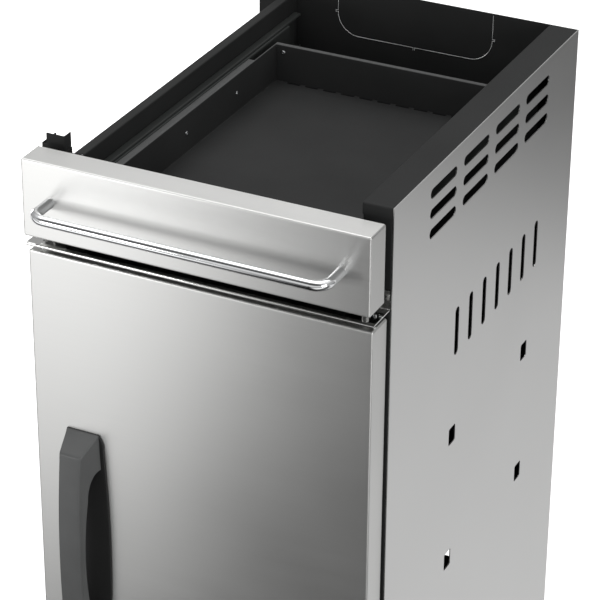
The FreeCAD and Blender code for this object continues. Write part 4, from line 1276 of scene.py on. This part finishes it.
def stage_floor(stage):
    """A pale floor: white to the camera with the cart's shadow, and graded where metal mirrors it."""
    half = stage.floor_side / 2
    mesh = bpy.data.meshes.new("floor")
    corners = [(-half, -half, 0.0), (half, -half, 0.0), (half, half, 0.0), (-half, half, 0.0)]
    mesh.from_pydata(corners, [], [(0, 1, 2, 3)])
    floor = add_object("floor", mesh)
    material, tree, shader = blank_material("floor_paper")
    shader.inputs["Base Color"].default_value = grey(FLOOR_GREY)
    shader.inputs["Roughness"].default_value = 1.0
    shader.inputs["Specular IOR Level"].default_value = 0.0
    path = tree.nodes.new("ShaderNodeLightPath")
    glow = tree.nodes.new("ShaderNodeMath")
    glow.operation = "MULTIPLY"
    glow.inputs[1].default_value = FLOOR_GLOW
    tree.links.new(path.outputs["Is Camera Ray"], glow.inputs[0])
    shader.inputs["Emission Color"].default_value = grey(1.0)
    tree.links.new(glow.outputs["Value"], shader.inputs["Emission Strength"])
    mirrored = tree.nodes.new("ShaderNodeEmission")
    tree.links.new(mirrored_floor(tree), mirrored.inputs["Color"])
    mirrored.inputs["Strength"].default_value = MIRRORED_STRENGTH
    choice = tree.nodes.new("ShaderNodeMixShader")
    tree.links.new(path.outputs["Is Glossy Ray"], choice.inputs["Fac"])
    tree.links.new(shader.outputs["BSDF"], choice.inputs[1])
    tree.links.new(mirrored.outputs["Emission"], choice.inputs[2])
    output = next(node for node in tree.nodes if node.type == "OUTPUT_MATERIAL")
    tree.links.new(choice.outputs["Shader"], output.inputs["Surface"])
    material.cycles.emission_sampling = "NONE"
    mesh.materials.append(material)


def surroundings(stage):
    """White for the camera, a dark skyline ahead for mirrors, and a softer level on dull surfaces."""
    world = bpy.data.worlds.new("white_room")
    bpy.context.scene.world = world
    world.use_nodes = True
    world.cycles.sampling_method = "NONE"
    tree = world.node_tree
    tree.nodes.clear()
    output = tree.nodes.new("ShaderNodeOutputWorld")
    sky = tree.nodes.new("ShaderNodeBackground")
    tree.links.new(sky.outputs["Background"], output.inputs["Surface"])
    path = tree.nodes.new("ShaderNodeLightPath")
    place = split_place(tree, "Generated")
    skyline = profile(tree, place["Z"], SKYLINE_LEVELS)
    rear_sky = profile(tree, place["Z"], REAR_SKY_LEVELS)
    turn = profile(tree, place["Y"], SKY_TURN)
    white = tree.nodes.new("ShaderNodeRGB").outputs["Color"]
    white.default_value = grey(1.0)
    dull = tree.nodes.new("ShaderNodeRGB").outputs["Color"]
    dull.default_value = grey(stage.ambient)
    mirrored = mixed(tree, "MIX", turn, skyline, rear_sky)
    level = mixed(tree, "MIX", path.outputs["Is Glossy Ray"], dull, mirrored)
    for kind in ("Is Camera Ray", "Is Transmission Ray"):
        level = mixed(tree, "MIX", path.outputs[kind], level, white)
    tree.links.new(level, sky.inputs["Color"])


def soft_box(name, place, target, width, height, power):
    """A lamp that looks at a point."""
    data = bpy.data.lights.new(name, "AREA")
    data.shape = "RECTANGLE"
    data.size = width
    data.size_y = height
    data.energy = power
    lamp = add_object(name, data)
    lamp.location = place
    lamp.rotation_euler = (Vector(target) - Vector(place)).to_track_quat("-Z", "Y").to_euler()
    lamp.visible_camera = False


def photo_camera(stage):
    """The photo's camera, placed by the drawer front's lower left corner."""
    turn = stage.camera_azimuth
    tilt = stage.camera_elevation
    ahead = Vector((-math.sin(turn) * math.cos(tilt), math.cos(turn) * math.cos(tilt), -math.sin(tilt)))
    level_right = Vector((math.cos(turn), math.sin(turn), 0.0))
    level_up = level_right.cross(ahead)
    lean = stage.camera_roll
    right = level_right * math.cos(lean) + level_up * math.sin(lean)
    up = level_up * math.cos(lean) - level_right * math.sin(lean)
    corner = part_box("drawer_front")[0]
    place = corner - right * stage.corner_right - up * stage.corner_up - ahead * stage.camera_distance
    data = bpy.data.cameras.new("photo_camera")
    data.lens = stage.camera_lens
    data.sensor_width = SENSOR_WIDTH
    camera = add_object("photo_camera", data)
    camera.matrix_world = Matrix((
        (right.x, up.x, -ahead.x, place.x),
        (right.y, up.y, -ahead.y, place.y),
        (right.z, up.z, -ahead.z, place.z),
        (0.0, 0.0, 0.0, 1.0),
    ))
    bpy.context.scene.camera = camera


class CART_OT_stage(bpy.types.Operator):
    """Floor, white surroundings, soft lamps and the camera"""
    bl_idname = "cart.stage"
    bl_label = "Stage"

    def execute(self, context):
        stage = context.scene.cart_stage
        context.scene.view_settings.view_transform = "Standard"
        stage_floor(stage)
        surroundings(stage)
        for name, place, target, width, height, power in SOFT_BOXES:
            soft_box(name, place, target, width, height, getattr(stage, power))
        photo_camera(stage)
        return {"FINISHED"}


# Add-on
OPERATORS = (
    CART_OT_fronts,
    CART_OT_side_skin,
    CART_OT_rails,
    CART_OT_carcass,
    CART_OT_breakout,
    CART_OT_wall_tongue,
    CART_OT_tray,
    CART_OT_runners,
    CART_OT_bar_handle,
    CART_OT_door_handle,
    CART_OT_hinge_and_catch,
    CART_OT_screws,
    CART_OT_rivets,
    CART_OT_caster_bolts,
    CART_OT_casters,
    CART_OT_stage,
)


class CART_PT_panel(bpy.types.Panel):
    """The cart's pieces and stage in the sidebar"""
    bl_idname = "CART_PT_panel"
    bl_label = "Storage cart"
    bl_space_type = "VIEW_3D"
    bl_region_type = "UI"
    bl_category = "Cart"

    def draw(self, context):
        for operator in OPERATORS:
            self.layout.operator(operator.bl_idname)


GROUPS = {
    "cart_finishes": CartFinishes,
    "cart_fasteners": CartFasteners,
    "cart_grip": CartGrip,
    "cart_rear": CartRear,
    "cart_side": CartSide,
    "cart_stage": CartStage,
}


def register():
    for item in (*GROUPS.values(), *OPERATORS, CART_PT_panel):
        bpy.utils.register_class(item)
    for name, group in GROUPS.items():
        setattr(bpy.types.Scene, name, PointerProperty(type=group))


def unregister():
    for name in GROUPS:
        delattr(bpy.types.Scene, name)
    for item in (CART_PT_panel, *reversed(OPERATORS), *reversed(GROUPS.values())):
        bpy.utils.unregister_class(item)


def main():
    register()
    for operator in OPERATORS:
        getattr(bpy.ops.cart, operator.bl_idname.split(".")[1])()


if __name__ == "__main__":
    main()
